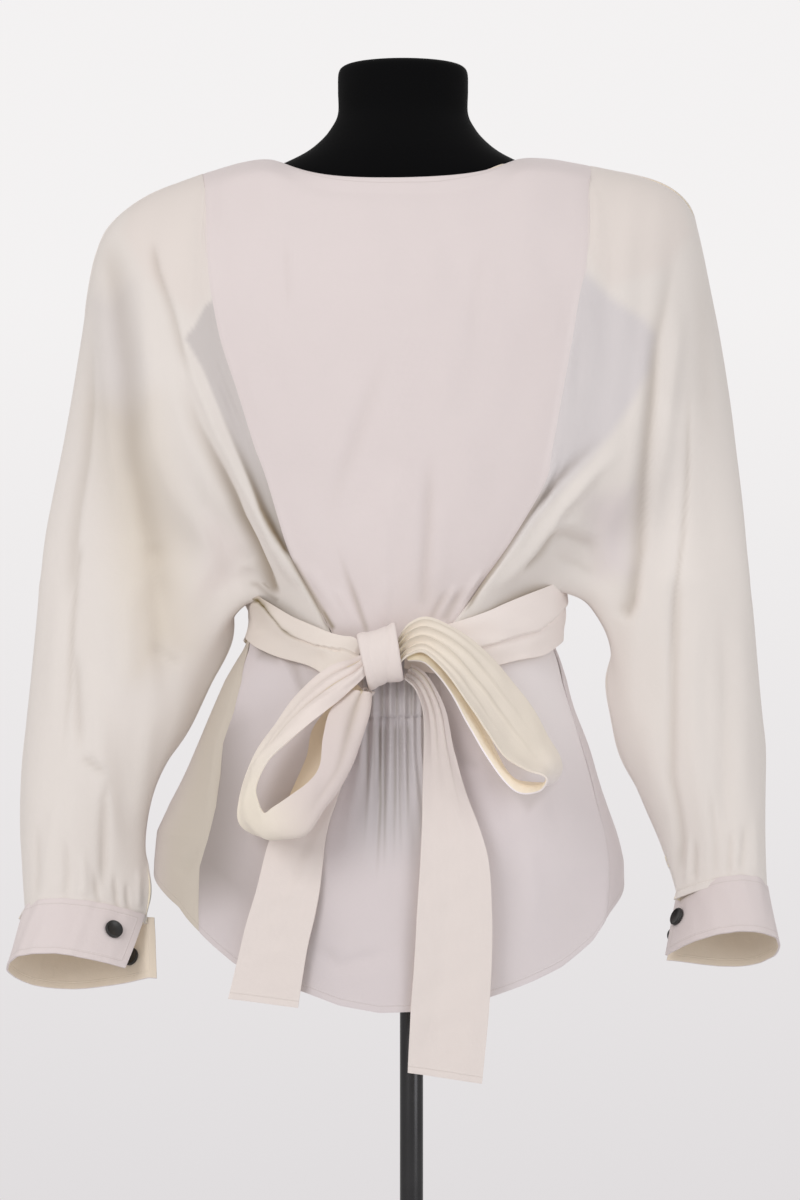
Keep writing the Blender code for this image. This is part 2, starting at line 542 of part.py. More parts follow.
# Upper back and front between the seams
def upper_point(neck, middle, dips, back, u, r):
    """Panel surface: u from the left seam to the right, r from -1 at the top to 10."""
    neck = np.array(neck, float)
    top_x = neck[0, 0] + (neck[-1, 0] - neck[0, 0]) * u
    top_z = np.interp(top_x, neck[:, 0], neck[:, 1])
    top_y = abs(np.interp(top_x, neck[:, 0], neck[:, 2]))
    row = max(r, 0.0)
    left = spline(np.array(SLEEVE_LEFT, float), row / (len(SLEEVE_LEFT) - 1))
    right = spline(np.array(SLEEVE_RIGHT, float), row / (len(SLEEVE_RIGHT) - 1))
    depth = 6 if back else 7
    x = left[2] + (right[2] - left[2]) * u
    dip = top_z - (neck[0, 1] + (neck[-1, 1] - neck[0, 1]) * u)
    z = left[3] + (right[3] - left[3]) * u + dip * np.interp(row, range(11), dips)
    side = left[depth] + (right[depth] - left[depth]) * u
    bow = 1 - (2 * u - 1) ** 2
    y = side + (np.interp(row, range(11), middle) - side) * bow
    y += folds(FOLDS_BACK if back else FOLDS_FRONT, x, z)
    if r > 2:
        y = min(y, pinch(x, z, back))
    if r < 0:
        s = (r + 1) * math.pi / 2
        kz = 1 - math.cos(s)
        ky = 0.45 * kz + 0.55 * math.sin(s)
        x, z = top_x + (x - top_x) * kz, top_z + (z - top_z) * kz
        y = top_y + (y - top_y) * ky
    if r < -0.999:
        y = max(y, 0.18)
    if u < 1e-6:
        x += SEAM_GAP / MM
    if u > 1 - 1e-6:
        x -= SEAM_GAP / MM
    return (x, -y if back else y, z)


def upper(name, neck, middle, dips, back):
    left, right = neck[0][0], neck[-1][0]
    us = [(row[0] - left) / (right - left) for row in neck]
    vs = [-1, -0.75, -0.5, -0.25, 0, 1, 2, 3] + [k / 2 for k in range(8, 21)]

    def rim(p, u, r):
        if r < -0.99 and 0 < u < 1:
            i = min(range(len(neck)), key=lambda k: abs(us[k] - u))
            return None if abs(neck[i][2]) > 2 else (0, 0, -1)
        return into_body(p)

    return wall(name, lambda u, r: upper_point(neck, middle, dips, back, u, r), us, vs,
                CLOTH, CREAM, rim, inward=1.0 if back else -1.0)


# Skirt of the blouse, back with gathers and front
def skirt_surface(phi, z):
    """Point of the skirt at an angle round the body and a height, without gathers."""
    cx, half, back, front, _, _ = lookup(SKIRT, z)
    t = math.radians(phi)
    depth = back if abs(phi) <= 90 else front
    return np.array((cx + half * math.sin(t), -depth * math.cos(t), z))


def skirt_seam(z, left):
    return lookup(SKIRT, z)[4 if left else 5]


def hem_height(phi):
    if abs(phi) > 90:
        phi = math.copysign(180 - abs(phi), phi)
        side = 803.6 if phi < 0 else 796.0
        return side + (812.0 - side) * (1 - abs(phi) / 90)
    return float(lookup(HEM, phi)[0])


def flare(phi, v):
    """Soft flutes of the skirt towards the hem (mm)."""
    t = math.radians(phi)
    return ease(v) * (3.0 * math.sin(5 * t + 0.7) + 1.5 * math.sin(9 * t + 2.0))


def skirt_back_point(u, v):
    top = None
    phi = -85 + 170 * u
    for _ in range(12):
        top = float(lookup(WAIST, phi)[0]) - 0.5
        z = top + (hem_height(phi) - top) * v
        lo, hi = skirt_seam(z, True) + SEAM_TURN, skirt_seam(z, False) - SEAM_TURN
        phi = lo + (hi - lo) * u
    p = skirt_surface(phi, z)
    fade = ease((z - 800) / 110)
    lift = 0.0
    for x0, height in PLEATS:
        x_here = -13 + (x0 + 13) * (1 + 0.55 * (1 - fade))
        lift += height * fade * math.exp(-((p[0] - x_here) / (2.6 + 2 * (1 - fade))) ** 2)
    lift -= 1.0 * fade
    out = np.array((math.sin(math.radians(phi)), -math.cos(math.radians(phi)), 0))
    return tuple(p + out * (lift + flare(phi, v)))


def skirt_front_point(u, v):
    """Front of the skirt, u from the left side seam round the front to the right."""
    z = 1000.0
    for _ in range(12):
        lo, hi = skirt_seam(z, True) - SEAM_TURN, skirt_seam(z, False) + SEAM_TURN
        phi = lo - u * (360 - (hi - lo))
        turn = phi + 360 if phi < -180 else phi
        top = float(lookup(WAIST, turn)[0]) - 0.5
        z = top + (hem_height(turn) - top) * v
    p = skirt_surface(turn, z)
    out = np.array((math.sin(math.radians(turn)), -math.cos(math.radians(turn)), 0))
    return tuple(p + out * flare(turn, v))


def skirt_rim(p, u, v):
    x, y, z = p
    cx, half, back, front, _, _ = lookup(SKIRT, z)
    return (-(x - cx) / half ** 2, -y / (back * front), 0)


# Sash, knot, loops and tails
def sash_point(u, v):
    rows = np.array(SASH, float)
    phi, top, bottom, lift = spline(rows, u)
    z = top + (bottom - top) * v
    t = math.radians(phi)
    cx, half, back, front, _, _ = lookup(SKIRT, min(z, 1037))
    cx, half = WAIST_X + (cx - WAIST_X) * ease((1020 - z) / 30), max(half, WAIST_HALF)
    depth = max(back, WAIST_BACK) if math.cos(t) > 0 else max(front, WAIST_FRONT)
    off = 4.8 + 1.6 * math.sin(math.pi * v) + math.sin(t) ** 4 * (5.9 - 2.9 * v)
    off += 3.0 * ease(-3 * math.cos(t)) + max(lift, 0.0)
    if -80 < phi < -19:
        off += 2.5 * math.sin(2 * math.pi * v) * ease((phi + 80) / 20)
    return (cx + (half + off) * math.sin(t), -(depth + off) * math.cos(t), z)


def ribbon_point(table, crown, wave, u, v):
    rows = np.array(table, float)
    row = spline(rows, v)
    a, b = row[:3], row[3:]
    p = a + (b - a) * u
    step = spline(rows, min(v + 0.01, 1)) - spline(rows, max(v - 0.01, 0))
    along = (step[:3] + step[3:]) / 2
    out = np.cross(b - a, along)
    out /= np.linalg.norm(out) + 1e-9
    return tuple(p + out * (crown * math.sin(math.pi * u) + wave * math.sin(2 * math.pi * u)))


def knot_point(u, v):
    """Wrap of the bow: u round the wrap, v round its flat section."""
    wall_t, half = 2.4, 16.0
    corner = v * 4
    if corner < 1:
        w, h = -half + 2 * half * corner, wall_t
    elif corner < 2:
        w, h = half + 0.0 * corner, wall_t * (2 - corner)
    elif corner < 3:
        w, h = half - 2 * half * (corner - 2), 0.0
    else:
        w, h = -half, wall_t * (corner - 3)
    t = 2 * math.pi * u
    pinch = 1 - 0.10 * math.cos(math.pi * w / half / 2) ** 2
    rz, ry = (22.6 * pinch + h), (14.6 * pinch + h)
    skew = 3.5 * math.sin(t)
    x = w * (1.0 + 0.06 * math.sin(t)) - skew * 0.6
    y, z = -ry * math.cos(t), rz * math.sin(t)
    lean = math.radians(17)
    return (-25.5 + x * math.cos(lean) - z * 0.10, -118.5 + y, 990.5 + z + x * math.sin(lean))


# Cuffs and buttons
def cuff_point(top_s, top_b, low_s, low_b, mid, depth, side, under, u, v):
    """Cuff strip: u from the outer end over the near side, the fold and the far side."""
    s = np.array(top_s) + (np.array(low_s) - top_s) * v
    b = np.array(top_b) + (np.array(low_b) - top_b) * v
    y_mid = mid - 26 * v
    d = depth + 5 * v
    if u <= 0.5:
        a0 = 0.01 + under[0] * v
        a = a0 + (1 - a0) * abs(math.sin(math.pi * u)) ** 1.4
        sign = -1
    else:
        a0 = under[1]
        a = a0 + (1 - a0) * abs(math.sin(math.pi * u)) ** 1.4
        sign = 1
    x = b[0] + (s[0] - b[0]) * a
    z = b[1] + (s[1] - b[1]) * a
    f = max(a, 0) * math.sqrt(max(1 - a, 0)) / 0.385
    y = y_mid + sign * (d * f + 2.6 * (1 - a)) + under[2] * max(1 - a, 0) ** 5
    if abs(u - 0.5) < 1e-6:
        y = y_mid
    z -= CUFF_LEAN * (y - y_mid)
    return (x, y, z)


def button(name, centre, outward):
    bm = bmesh.new()
    bmesh.ops.create_cone(bm, cap_ends=True, segments=24, radius1=BUTTON_R, radius2=BUTTON_R,
                          depth=BUTTON_T)
    rim = [e for e in bm.edges if abs(e.verts[0].co.z - e.verts[1].co.z) < 1e-6]
    bmesh.ops.bevel(bm, geom=rim, offset=0.0008, segments=1, affect="EDGES")
    turn = Vector(outward).to_track_quat("Z", "Y").to_matrix().to_4x4()
    bmesh.ops.transform(bm, matrix=Matrix.Translation(centre) @ turn, verts=bm.verts[:])
    return finish(bm, name, BLACK, 0.35, smooth=False)


def cuff(name, shape, side):
    def point(u, v):
        return cuff_point(*shape, side, UNDER[side], min(max(u, 0.0), 1.0), v)

    wall(name, point, [k / 26 for k in range(27)], [0, 0.34, 0.67, 1.0], CLOTH * 1.5, CREAM,
         inward=side)
    for k, (u, v) in enumerate(BUTTON_AT[side]):
        p = np.array(point(u, v)) * MM
        du = np.array(point(u + 0.01, v)) - np.array(point(u - 0.01, v))
        dv = np.array(point(u, v + 0.05)) - np.array(point(u, v - 0.05))
        out = np.cross(du, dv) * -side
        out /= np.linalg.norm(out)
        shift = BUTTON_T / 2 + 0.0004 if u < 0.5 else -(CLOTH * 1.5 + BUTTON_T / 2 + 0.0004)
        button(f"{name}_button_{k + 1}", Vector(p + out * shift), Vector(out if u < 0.5 else -out))


# Dress form, pads and stand
def form_place(x, y, z):
    k = math.acos(max(-1, min(1, z))) / math.pi
    rows = np.array(FORM, float)
    height, half, back, front = spline(rows, k)
    flat = math.hypot(x, y)
    if flat < 1e-6:
        return (CENTRE_X / MM, 0, rows[0, 0] + 0.4 if z > 0 else rows[-1, 0] - 0.2)
    cx, cy = x / flat, y / flat
    return (CENTRE_X / MM + half * cx, (back if cy < 0 else front) * cy, height)


def pad_place(side):
    table = SLEEVE_LEFT if side < 0 else SLEEVE_RIGHT
    mid = -182.0 if side < 0 else 166.0
    ridge = sorted([(r[0], r[1]) for r in table[:3]] + [(side * 120.0 - 4, 1417.0)])

    def place(x, y, z):
        px, py = mid + 49 * x, 40 * y
        top = np.interp(px, [r[0] for r in ridge], [r[1] for r in ridge])
        thick = 4.7 + 3.3 * x * side
        drop = 6.5 if side < 0 else 8.8
        return (px, py, top - drop - thick - 0.016 * py * py + thick * z)
    return place


for obj in list(bpy.data.objects):
    bpy.data.objects.remove(obj, do_unlink=True)
parts = bpy.data.collections.new("blouse_on_dress_form")
bpy.context.scene.collection.children.link(parts)
SASH_ROUND = sorted([(r[0] + (360 if r[0] < -180 else 0), r[1]) for r in SASH])

# Stand and form
lathe("stand_base", [(0, 0), (BASE_R, 0), (BASE_R + 0.002, 0.003), (BASE_R - 0.003, 0.008),
      (0.040, 0.012), (0.024, 0.015), (0.021, 0.045), (0.017, 0.048), (0, 0.048)],
      32, STEEL, 0.25, 0.9)
lathe("stand_pole", [(0, 0.0483), (POLE_R, 0.0483), (POLE_R, 0.7432), (0, 0.7432)],
      20, STEEL, 0.2, 1.0)
lathe("stand_collar", [(0, 0.7435), (0.016, 0.7435), (0.018, 0.7455), (0.018, 0.751),
      (0.050, 0.754), (0.050, 0.7592), (0, 0.7592)], 22, STEEL, 0.25, 0.9)
ball("dress_form", form_place, 28, 28, BLACK, 0.9)
ball("shoulder_pad_left", pad_place(-1), 16, 8, PALE, 0.9)
ball("shoulder_pad_right", pad_place(1), 16, 8, PALE, 0.9)

# Blouse
upper("back_upper", NECK_BACK, BACK_MIDDLE, BACK_DIP, True)
upper("front_upper", NECK_FRONT, FRONT_MIDDLE, FRONT_DIP, False)
sleeve("sleeve_left", SLEEVE_LEFT, -1)
sleeve("sleeve_right", SLEEVE_RIGHT, 1)
skirt_us = [0, 0.07, 0.15, 0.23, 0.3, 0.35] + [0.38 + k * 0.0082 for k in range(23)] + \
           [0.6, 0.67, 0.75, 0.83, 0.92, 1.0]
skirt_vs = [0, 0.06, 0.13, 0.2, 0.28, 0.37, 0.47, 0.58, 0.7, 0.83, 1]
wall("back_lower", skirt_back_point, skirt_us, skirt_vs, CLOTH, PALE, skirt_rim, inward=1.0)
wall("front_lower", skirt_front_point, [k / 24 for k in range(25)], skirt_vs,
     CLOTH, CREAM, skirt_rim, inward=-1.0)
wall("waist_sash", sash_point, [k / 44 for k in range(45)], [0, 0.25, 0.5, 0.75, 1.0],
     SASH_CLOTH, CREAM, inward=-1.0)
ring("bow_knot", knot_point, 20, 8, CREAM)
for title, table, crown, wave, count in (
        ("bow_loop_left", LOOP_LEFT, 2.0, 1.5, 34), ("bow_loop_right", LOOP_RIGHT, 2.0, 1.5, 36),
        ("sash_tail_left", TAIL_LEFT, 1.5, 0.8, 12), ("sash_tail_right", TAIL_RIGHT, 1.5, 0.8, 18)):
    wall(title, lambda u, v, t=table, c=crown, w=wave: ribbon_point(t, c, w, u, v),
         [k / 5 for k in range(6)], [k / count for k in range(count + 1)], SASH_CLOTH, CREAM)

# Cuffs: outer fold and seam end x z at the top and at the opening (mm)
UNDER = {-1: (0.14, -0.06, 0.0), 1: (0.02, 0.05, 14.0)}
BUTTON_AT = {-1: ((0.10, 0.42), (0.909, 0.6)), 1: ((0.045, 0.42), (0.97, 0.6))}
cuff("cuff_left", ((-329.5, 771.9), (-225.0, 768.5), (-341.5, 727.0), (-222.0, 720.0), -33, 25), -1)
cuff("cuff_right", ((303.5, 790.6), (225.0, 788.1), (311.0, 743.5), (211.5, 741.0), -26, 25), 1)
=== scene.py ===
"""Looks of a blouse tied at the back, on a limbless dress form with a round stand.

Metres, Z up, -Y is the blouse's back and the side that the camera sees.
Tables of the cloth are in millimetres in the same frame.
"""

import math

import bmesh
import bpy
import numpy as np
from mathutils import Matrix, Vector


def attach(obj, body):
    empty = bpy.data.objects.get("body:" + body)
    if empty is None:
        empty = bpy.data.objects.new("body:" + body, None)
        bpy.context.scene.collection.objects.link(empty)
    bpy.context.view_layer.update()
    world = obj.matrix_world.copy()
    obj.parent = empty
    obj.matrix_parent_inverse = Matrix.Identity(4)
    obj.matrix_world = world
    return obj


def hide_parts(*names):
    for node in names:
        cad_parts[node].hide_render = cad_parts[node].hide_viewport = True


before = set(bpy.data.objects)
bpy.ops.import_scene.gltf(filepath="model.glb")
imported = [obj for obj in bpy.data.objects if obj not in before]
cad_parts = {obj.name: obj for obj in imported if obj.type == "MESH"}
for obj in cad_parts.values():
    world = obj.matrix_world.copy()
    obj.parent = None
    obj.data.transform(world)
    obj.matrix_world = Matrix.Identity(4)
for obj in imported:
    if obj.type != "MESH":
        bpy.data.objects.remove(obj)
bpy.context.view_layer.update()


# Stand: round weighted base, tube and collar
# The base is a turned steel cover, the tube stands in its boss, and the collar
# sits under the form; its clamping screw is not drawn. All of it is dark polished metal.
MM = 0.001
POLE_R = 0.010
POLE_LOW, POLE_HIGH = 0.0483, 0.7432
TURNED_STEPS = 128
SHARP = 0.5             # angle from which an edge is bevelled
# name, node, profile of radius and height, bevel (m)
STAND = [
    ("base", "stand_base", [(0, 0), (0.165, 0), (0.167, 0.003), (0.164, 0.008), (0.040, 0.012),
                            (0.024, 0.015),
                            (0.021, 0.045), (0.017, 0.048), (0, 0.048)], 0.0012),
    ("tube", "stand_pole", [(0, POLE_LOW), (POLE_R, POLE_LOW), (POLE_R, POLE_HIGH), (0, POLE_HIGH)],
     0.0004),
    ("collar", "stand_collar", [(0, 0.7435), (0.016, 0.7435), (0.018, 0.7455), (0.018, 0.751),
                                (0.050, 0.754),
                                (0.050, 0.7592), (0, 0.7592)], 0.0006),
]


class Number:
    """A number in a shader. Arithmetic on it adds Math nodes."""

    def __init__(self, look, socket):
        self.look, self.socket = look, socket

    def __add__(self, other):
        return self.look.math("ADD", self, other)

    def __sub__(self, other):
        return self.look.math("SUBTRACT", self, other)

    def __mul__(self, other):
        return self.look.math("MULTIPLY", self, other)

    __radd__ = __add__


class Nodes:
    """A node tree whose nodes are added by one method."""

    def __init__(self, tree):
        self.tree = tree

    def node(self, kind, settings, inputs, out=0):
        """Adds a node, sets it up, fills its sockets and returns one output."""
        made = self.tree.nodes.new(kind)
        for key, value in settings.items():
            setattr(made, key, value)
        for key, value in inputs.items():
            if isinstance(value, Number):
                self.tree.links.new(value.socket, made.inputs[key])
            else:
                made.inputs[key].default_value = value
        return Number(self, made.outputs[out])

    def math(self, operation, *values):
        return self.node("ShaderNodeMath", {"operation": operation}, dict(enumerate(values)))


class Look(Nodes):
    """A material with one principled shader."""

    def __init__(self, name, constants):
        self.material = bpy.data.materials.new(name)
        self.material.use_nodes = True
        super().__init__(self.material.node_tree)
        self.shader = self.tree.nodes["Principled BSDF"]
        for socket, value in constants.items():
            self.shader.inputs[socket].default_value = value

    def feed(self, **values):
        """Links values to the shader's sockets, named with _ for a space."""
        for key, value in values.items():
            self.tree.links.new(value.socket, self.shader.inputs[key.replace("_", " ")])


def place_of(look, scale=(1.0, 1.0, 1.0), which="Object"):
    """Object coordinates, or the cloth's own UV, stretched by scale."""
    spot = look.node("ShaderNodeTexCoord", {}, {}, which)
    return look.node("ShaderNodeMapping", {}, {"Vector": spot, "Scale": scale})


def speckle(look, where, scale, detail=3.0, rough=0.55):
    return look.node("ShaderNodeTexNoise", {}, {"Vector": where, "Scale": scale, "Detail": detail,
                                                "Roughness": rough})


def mixed(look, share, low, high):
    """Colour between two colours, or one colour and a link, by a share."""
    return look.node("ShaderNodeMix", {"data_type": "RGBA"}, {0: share, 6: low, 7: high}, 2)


def bumped(look, height, strength, distance):
    return look.node("ShaderNodeBump", {}, {"Strength": strength, "Distance": distance, "Height": height})


def ribbed(look, where, way, scale, bend, bend_scale=1.0):
    """Fine ribs side by side along one axis."""
    return look.node("ShaderNodeTexWave", {"wave_type": "BANDS", "bands_direction": way},
                     {"Vector": where, "Scale": scale, "Distortion": bend, "Detail": 1.0,
                      "Detail Scale": bend_scale})


def metal_look():
    """Dark polished metal with faint rubbing marks round the tube."""
    look = Look("dark_polished_metal", {"Metallic": 0.85, "Specular IOR Level": 0.6})
    where = place_of(look)
    grain = speckle(look, place_of(look, (1.0, 1.0, 0.08)), 900.0)
    smudge = speckle(look, where, 22.0, 4.0)
    look.feed(
        Base_Color=mixed(look, smudge, (0.042, 0.041, 0.043, 1), (0.070, 0.069, 0.072, 1)),
        Roughness=0.16 + smudge * 0.12 + grain * 0.05,
        Normal=bumped(look, grain, 0.06, 0.0002),
    )
    return look.material


def object_of(name, mesh, material):
    """Object at the origin that shows a mesh with a material."""
    made = bpy.data.objects.new(name, mesh)
    bpy.context.scene.collection.objects.link(made)
    mesh.materials.append(material)
    return made


def mesh_of(name, bm):
    """Smooth mesh of a finished bmesh, which is freed."""
    mesh = bpy.data.meshes.new(name)
    bm.to_mesh(mesh)
    bm.free()
    mesh.polygons.foreach_set("use_smooth", [True] * len(mesh.polygons))
    return mesh


def spun(profile, steps, near):
    """Closed body turned from a profile of radius and height, its places merged where near."""
    bm = bmesh.new()
    points = [bm.verts.new((radius, 0, height)) for radius, height in profile]
    edges = [bm.edges.new(pair) for pair in zip(points, points[1:])]
    bmesh.ops.spin(bm, geom=points + edges, cent=(0, 0, 0), axis=(0, 0, 1),
                   angle=2 * math.pi, steps=steps, use_merge=True)
    bmesh.ops.remove_doubles(bm, verts=bm.verts[:], dist=near)
    bmesh.ops.recalc_face_normals(bm, faces=bm.faces[:])
    return bm


def turned(name, profile, material, bevel):
    """Part of the stand from a profile in metres, with bevelled edges."""
    bm = spun(profile, TURNED_STEPS, 1e-6)
    sharp = [e for e in bm.edges if len(e.link_faces) == 2 and e.calc_face_angle() > SHARP]
    bmesh.ops.bevel(bm, geom=sharp, offset=bevel, segments=2, profile=0.5, material=-1, affect="EDGES")
    return object_of(name, mesh_of(name, bm), material)


def show(piece, node):
    """The piece rides on the one body and stands for its CAD node, which is hidden."""
    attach(piece, "root")
    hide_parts(node)
    return piece


metal = metal_look()
for name, node, profile, bevel in STAND:
    show(turned(name, profile, metal, bevel), node)


# Dress form without limbs
# A smooth padded body under one black jersey cover, closed by a flat cap on the neck.
# Its sections are height, half width, depth to the back and depth to the front.
FORM = [
    (1497, 42, 40, 40), (1495.5, 51, 48, 48), (1490, 55.5, 53, 53), (1475, 56, 53, 53),
    (1455, 56, 53, 53), (1441.5, 62.5, 57, 55), (1431, 71.5, 60, 57), (1421, 84.5, 62, 58),
    (1411, 105, 62, 59), (1400, 132, 62, 61), (1386, 161, 63, 64), (1372, 180, 65, 69),
    (1355, 189, 69, 77), (1332, 188, 76, 89), (1300, 180, 84, 101), (1262, 166, 90, 111),
    (1220, 151, 90, 113), (1170, 139, 87, 105), (1110, 125, 83, 95), (1055, 116, 80, 89),
    (1015, 114, 79, 86), (975, 118, 85, 89), (925, 135, 96, 95), (870, 153, 106, 101),
    (820, 162, 110, 103), (785, 162, 110, 102), (767, 157, 106, 98), (760, 140, 96, 88),
]
FORM_X = -7.3           # middle of the form, mm
FORM_GRID = 120, 140    # round it and up it


def rows_at(table, t):
    """Smooth curve through the equally spaced rows of a table, t from 0 to 1, as an array."""
    rows = np.asarray(table, float)
    last = len(rows) - 1
    s = np.clip(np.asarray(t, float), 0, 1) * last
    i = np.minimum(s.astype(int), last - 1)
    f = (s - i)[..., None]
    p0, p1, p2, p3 = rows[np.maximum(i - 1, 0)], rows[i], rows[i + 1], rows[np.minimum(i + 2, last)]
    return 0.5 * (2 * p1 + (p2 - p0) * f + (2 * p0 - 5 * p1 + 4 * p2 - p3) * f * f
                  + (3 * p1 - p0 - 3 * p2 + p3) * f ** 3)


def looked_up(table, at, column=1):
    """Value of a column where the first column has these values, straight between the rows."""
    table = np.array(table, float)
    return np.interp(at, table[:, 0], table[:, column])


def jersey_look():
    """Black jersey: fine ribs that run up the form, and hardly any gloss."""
    look = Look("black_jersey", {"Roughness": 0.92, "Sheen Weight": 0.02, "Sheen Roughness": 0.5,
                                 "Specular IOR Level": 0.08})
    where = place_of(look)
    fuzz = speckle(look, where, 700.0)
    cloudy = speckle(look, where, 9.0)
    ribs = ribbed(look, where, "X", 420.0, 0.6)
    look.feed(
        Base_Color=mixed(look, cloudy * 0.6 + fuzz * 0.4, (0.0018, 0.0018, 0.0021, 1),
                         (0.0036, 0.0036, 0.0042, 1)),
        Normal=bumped(look, ribs * 0.5 + fuzz * 0.5, 0.25, 0.0003),
    )
    return look.material


def form_mesh():
    bm = bmesh.new()
    bmesh.ops.create_uvsphere(bm, u_segments=FORM_GRID[0], v_segments=FORM_GRID[1], radius=1.0)
    spots = np.array([v.co for v in bm.verts])
    sections = rows_at(FORM, np.arccos(np.clip(spots[:, 2], -1, 1)) / math.pi)
    flat = np.hypot(spots[:, 0], spots[:, 1])
    for vert, (height, half, back, front), (x, y, z), r in zip(bm.verts, sections, spots, flat):
        depth, r = back if y < 0 else front, max(r, 1e-6)
        vert.co = Vector((FORM_X + half * x / r, depth * y / r, height)) * MM
    bmesh.ops.recalc_face_normals(bm, faces=bm.faces[:])
    return mesh_of("form", bm)


show(object_of("form", form_mesh(), jersey_look()), "dress_form")


# Shoulder pads
# Wadding in a thin cream cover, resting on the form under the cloth of each shoulder.
PAD_GRID = 64, 32
PAD_HALF, PAD_DEPTH = 49, 40
PAD_THICK, PAD_TAPER, PAD_BEND = 4.7, 3.3, 0.016
PAD_MIDDLE = {-1: -182.0, 1: 166.0}
PAD_DROP = {-1: 6.5, 1: 8.8}
SHOULDER_RIDGE = {
    -1: [(-224.9, 1386.5), (-179.3, 1403.7), (-170.7, 1363.2), (-124.0, 1417.0)],
    1: [(116.0, 1417.0), (153.5, 1410.5), (209.4, 1398.5), (237.8, 1378.7)],
}


def pad_look():
    """Cream wadding cover with a felted surface."""
    look = Look("pad_cover", {"Roughness": 0.95, "Sheen Weight": 0.3})
    where = place_of(look)
    felt = speckle(look, where, 350.0, 5.0)
    look.feed(
        Base_Color=mixed(look, speckle(look, where, 30.0), (0.66, 0.6, 0.5, 1), (0.72, 0.67, 0.58, 1)),
        Normal=bumped(look, felt, 0.5, 0.0005),
    )
    return look.material


def pad_mesh(name, side):
    bm = bmesh.new()
    bmesh.ops.create_uvsphere(bm, u_segments=PAD_GRID[0], v_segments=PAD_GRID[1], radius=1.0)
    for vert in bm.verts:
        x, y, z = vert.co
        px, py = PAD_MIDDLE[side] + PAD_HALF * x, PAD_DEPTH * y
        thick = PAD_THICK + PAD_TAPER * x * side
        top = looked_up(SHOULDER_RIDGE[side], px)
        vert.co = Vector((px, py, top - PAD_DROP[side] - thick - PAD_BEND * py * py + thick * z)) * MM
    return mesh_of(name, bm)


pad_cover = pad_look()
for side, word in ((-1, "left"), (1, "right")):
    pad = show(object_of(f"pad_{word}", pad_mesh(f"pad_{word}", side), pad_cover),
               f"shoulder_pad_{word}")


# Back panel of the blouse, from the neck to the waist
# One panel of cream crepe, doubled by a facing, with a narrow turned edge at the neck.
# Its side seams run from the shoulders in to the waist, where the sash gathers it.
WALL = 1.2              # cloth, mm
RIM = 0.3               # bevel of the cloth's edges, mm
HEM_WIDE = 6.5          # turned edge, mm
NO_HEM = 60.0           # stands for a place far from any turned edge, mm
STITCH_IN = 1.2         # stitches inside the end of the turned edge, mm
THREADS = 330.0         # scale of the weave's waves
# painted glow of the cloth's inner side, standing in for light that comes through the thin cloth
GLOW = 0.09             # light that comes through the thin cloth
WAVES = 14              # waves whose sum makes the cloth uneven
WAIST_X, WAIST_HALF, WAIST_BACK, WAIST_FRONT = -4.0, 126.0, 90.0, 97.0
# fold edge x z, seam x z, bend x z, seam depth back front, body share, bulge, tube, middle y (mm)
SLEEVE_LEFT = [
    (-179.3, 1403.7, -175.3, 1386.7, -177.3, 1395.2, 40, 42, 1, 0, 0, 0),
    (-224.9, 1386.5, -172.9, 1343.1, -198.9, 1364.8, 66, 66, 1, 2, 0, 0),
    (-256.7, 1363.2, -170.6, 1310.2, -213.7, 1336.7, 76, 78, 1, 5, 0, 0),
    (-271.3, 1336.6, -166.2, 1282.2, -218.8, 1309.4, 80, 86, 1, 8, 0, 0),
    (-279.9, 1295.3, -159.5, 1251.3, -219.7, 1273.3, 80, 90, 1, 11, 0, 0),
    (-284.2, 1248, -146.2, 1211.2, -215.2, 1229.6, 80, 94, 1, 15, 0, 0),
    (-292, 1207.6, -132, 1166, -212, 1186.8, 80, 96, 1, 19, 0, 0),
    (-299.7, 1169.7, -121.9, 1138.5, -210.8, 1154.1, 80, 96, 0.95, 23, 0, 0),
    (-307.5, 1131.9, -102.7, 1077.4, -188.6, 1118.1, 80, 92, 0.8, 27, 0.1, 0),
    (-313.5, 1101.8, -81, 1037.3, -146.1, 1118.1, 80, 88, 0.62, 30, 0.25, 0),
    (-316.9, 1078.6, -65.1, 995.9, -130.7, 1118.1, 78.7, 84.8, 0.5, 32, 0.4, 0),
    (-318.6, 1061.4, -110.9, 1012.8, -133.3, 1105.4, 47.7, 51.4, 0.4, 34, 0.7, 0),
    (-320.4, 1049.3, -129.5, 1032.3, -141, 1096.9, 7.8, 8.5, 0.2, 35, 1, 0),
    (-321.2, 1037.3, -140.5, 1056, -230.9, 1046.7, 0.2, 0.2, 0.2, 36, 1, 0),
    (-322.1, 1021.8, -152.7, 1037.3, -237.4, 1029.6, 0.2, 0.2, 0.2, 38, 1, 0),
    (-324.4, 998.6, -154.3, 1002.9, -239.4, 1000.8, 0.2, 0.2, 0.2, 40, 1, -2),
    (-326.8, 968.6, -169.6, 966.9, -248.2, 967.7, 0.2, 0.2, 0.2, 40, 1, -4),
    (-329.9, 938.6, -184.9, 936.9, -257.4, 937.8, 0.2, 0.2, 0.2, 38, 1, -7),
    (-333.7, 900.2, -210.4, 897.7, -272, 898.9, 0.2, 0.2, 0.2, 36, 1, -11),
    (-334.8, 866.3, -230.4, 866.3, -282.6, 866.3, 0.2, 0.2, 0.2, 33, 1, -17),
    (-334.1, 836.8, -228.3, 834.3, -281.2, 835.5, 0.2, 0.2, 0.2, 31, 1, -23),
    (-331.8, 811.6, -223.6, 809.1, -277.7, 810.4, 0.2, 0.2, 0.2, 30, 1, -28),
    (-330.6, 792.3, -221.7, 788.9, -276.2, 790.6, 0.2, 0.2, 0.2, 29, 1, -31),
    (-328.7, 772.9, -225, 769.5, -276.8, 771.2, 0.2, 0.2, 0.2, 25, 1, -33),
]
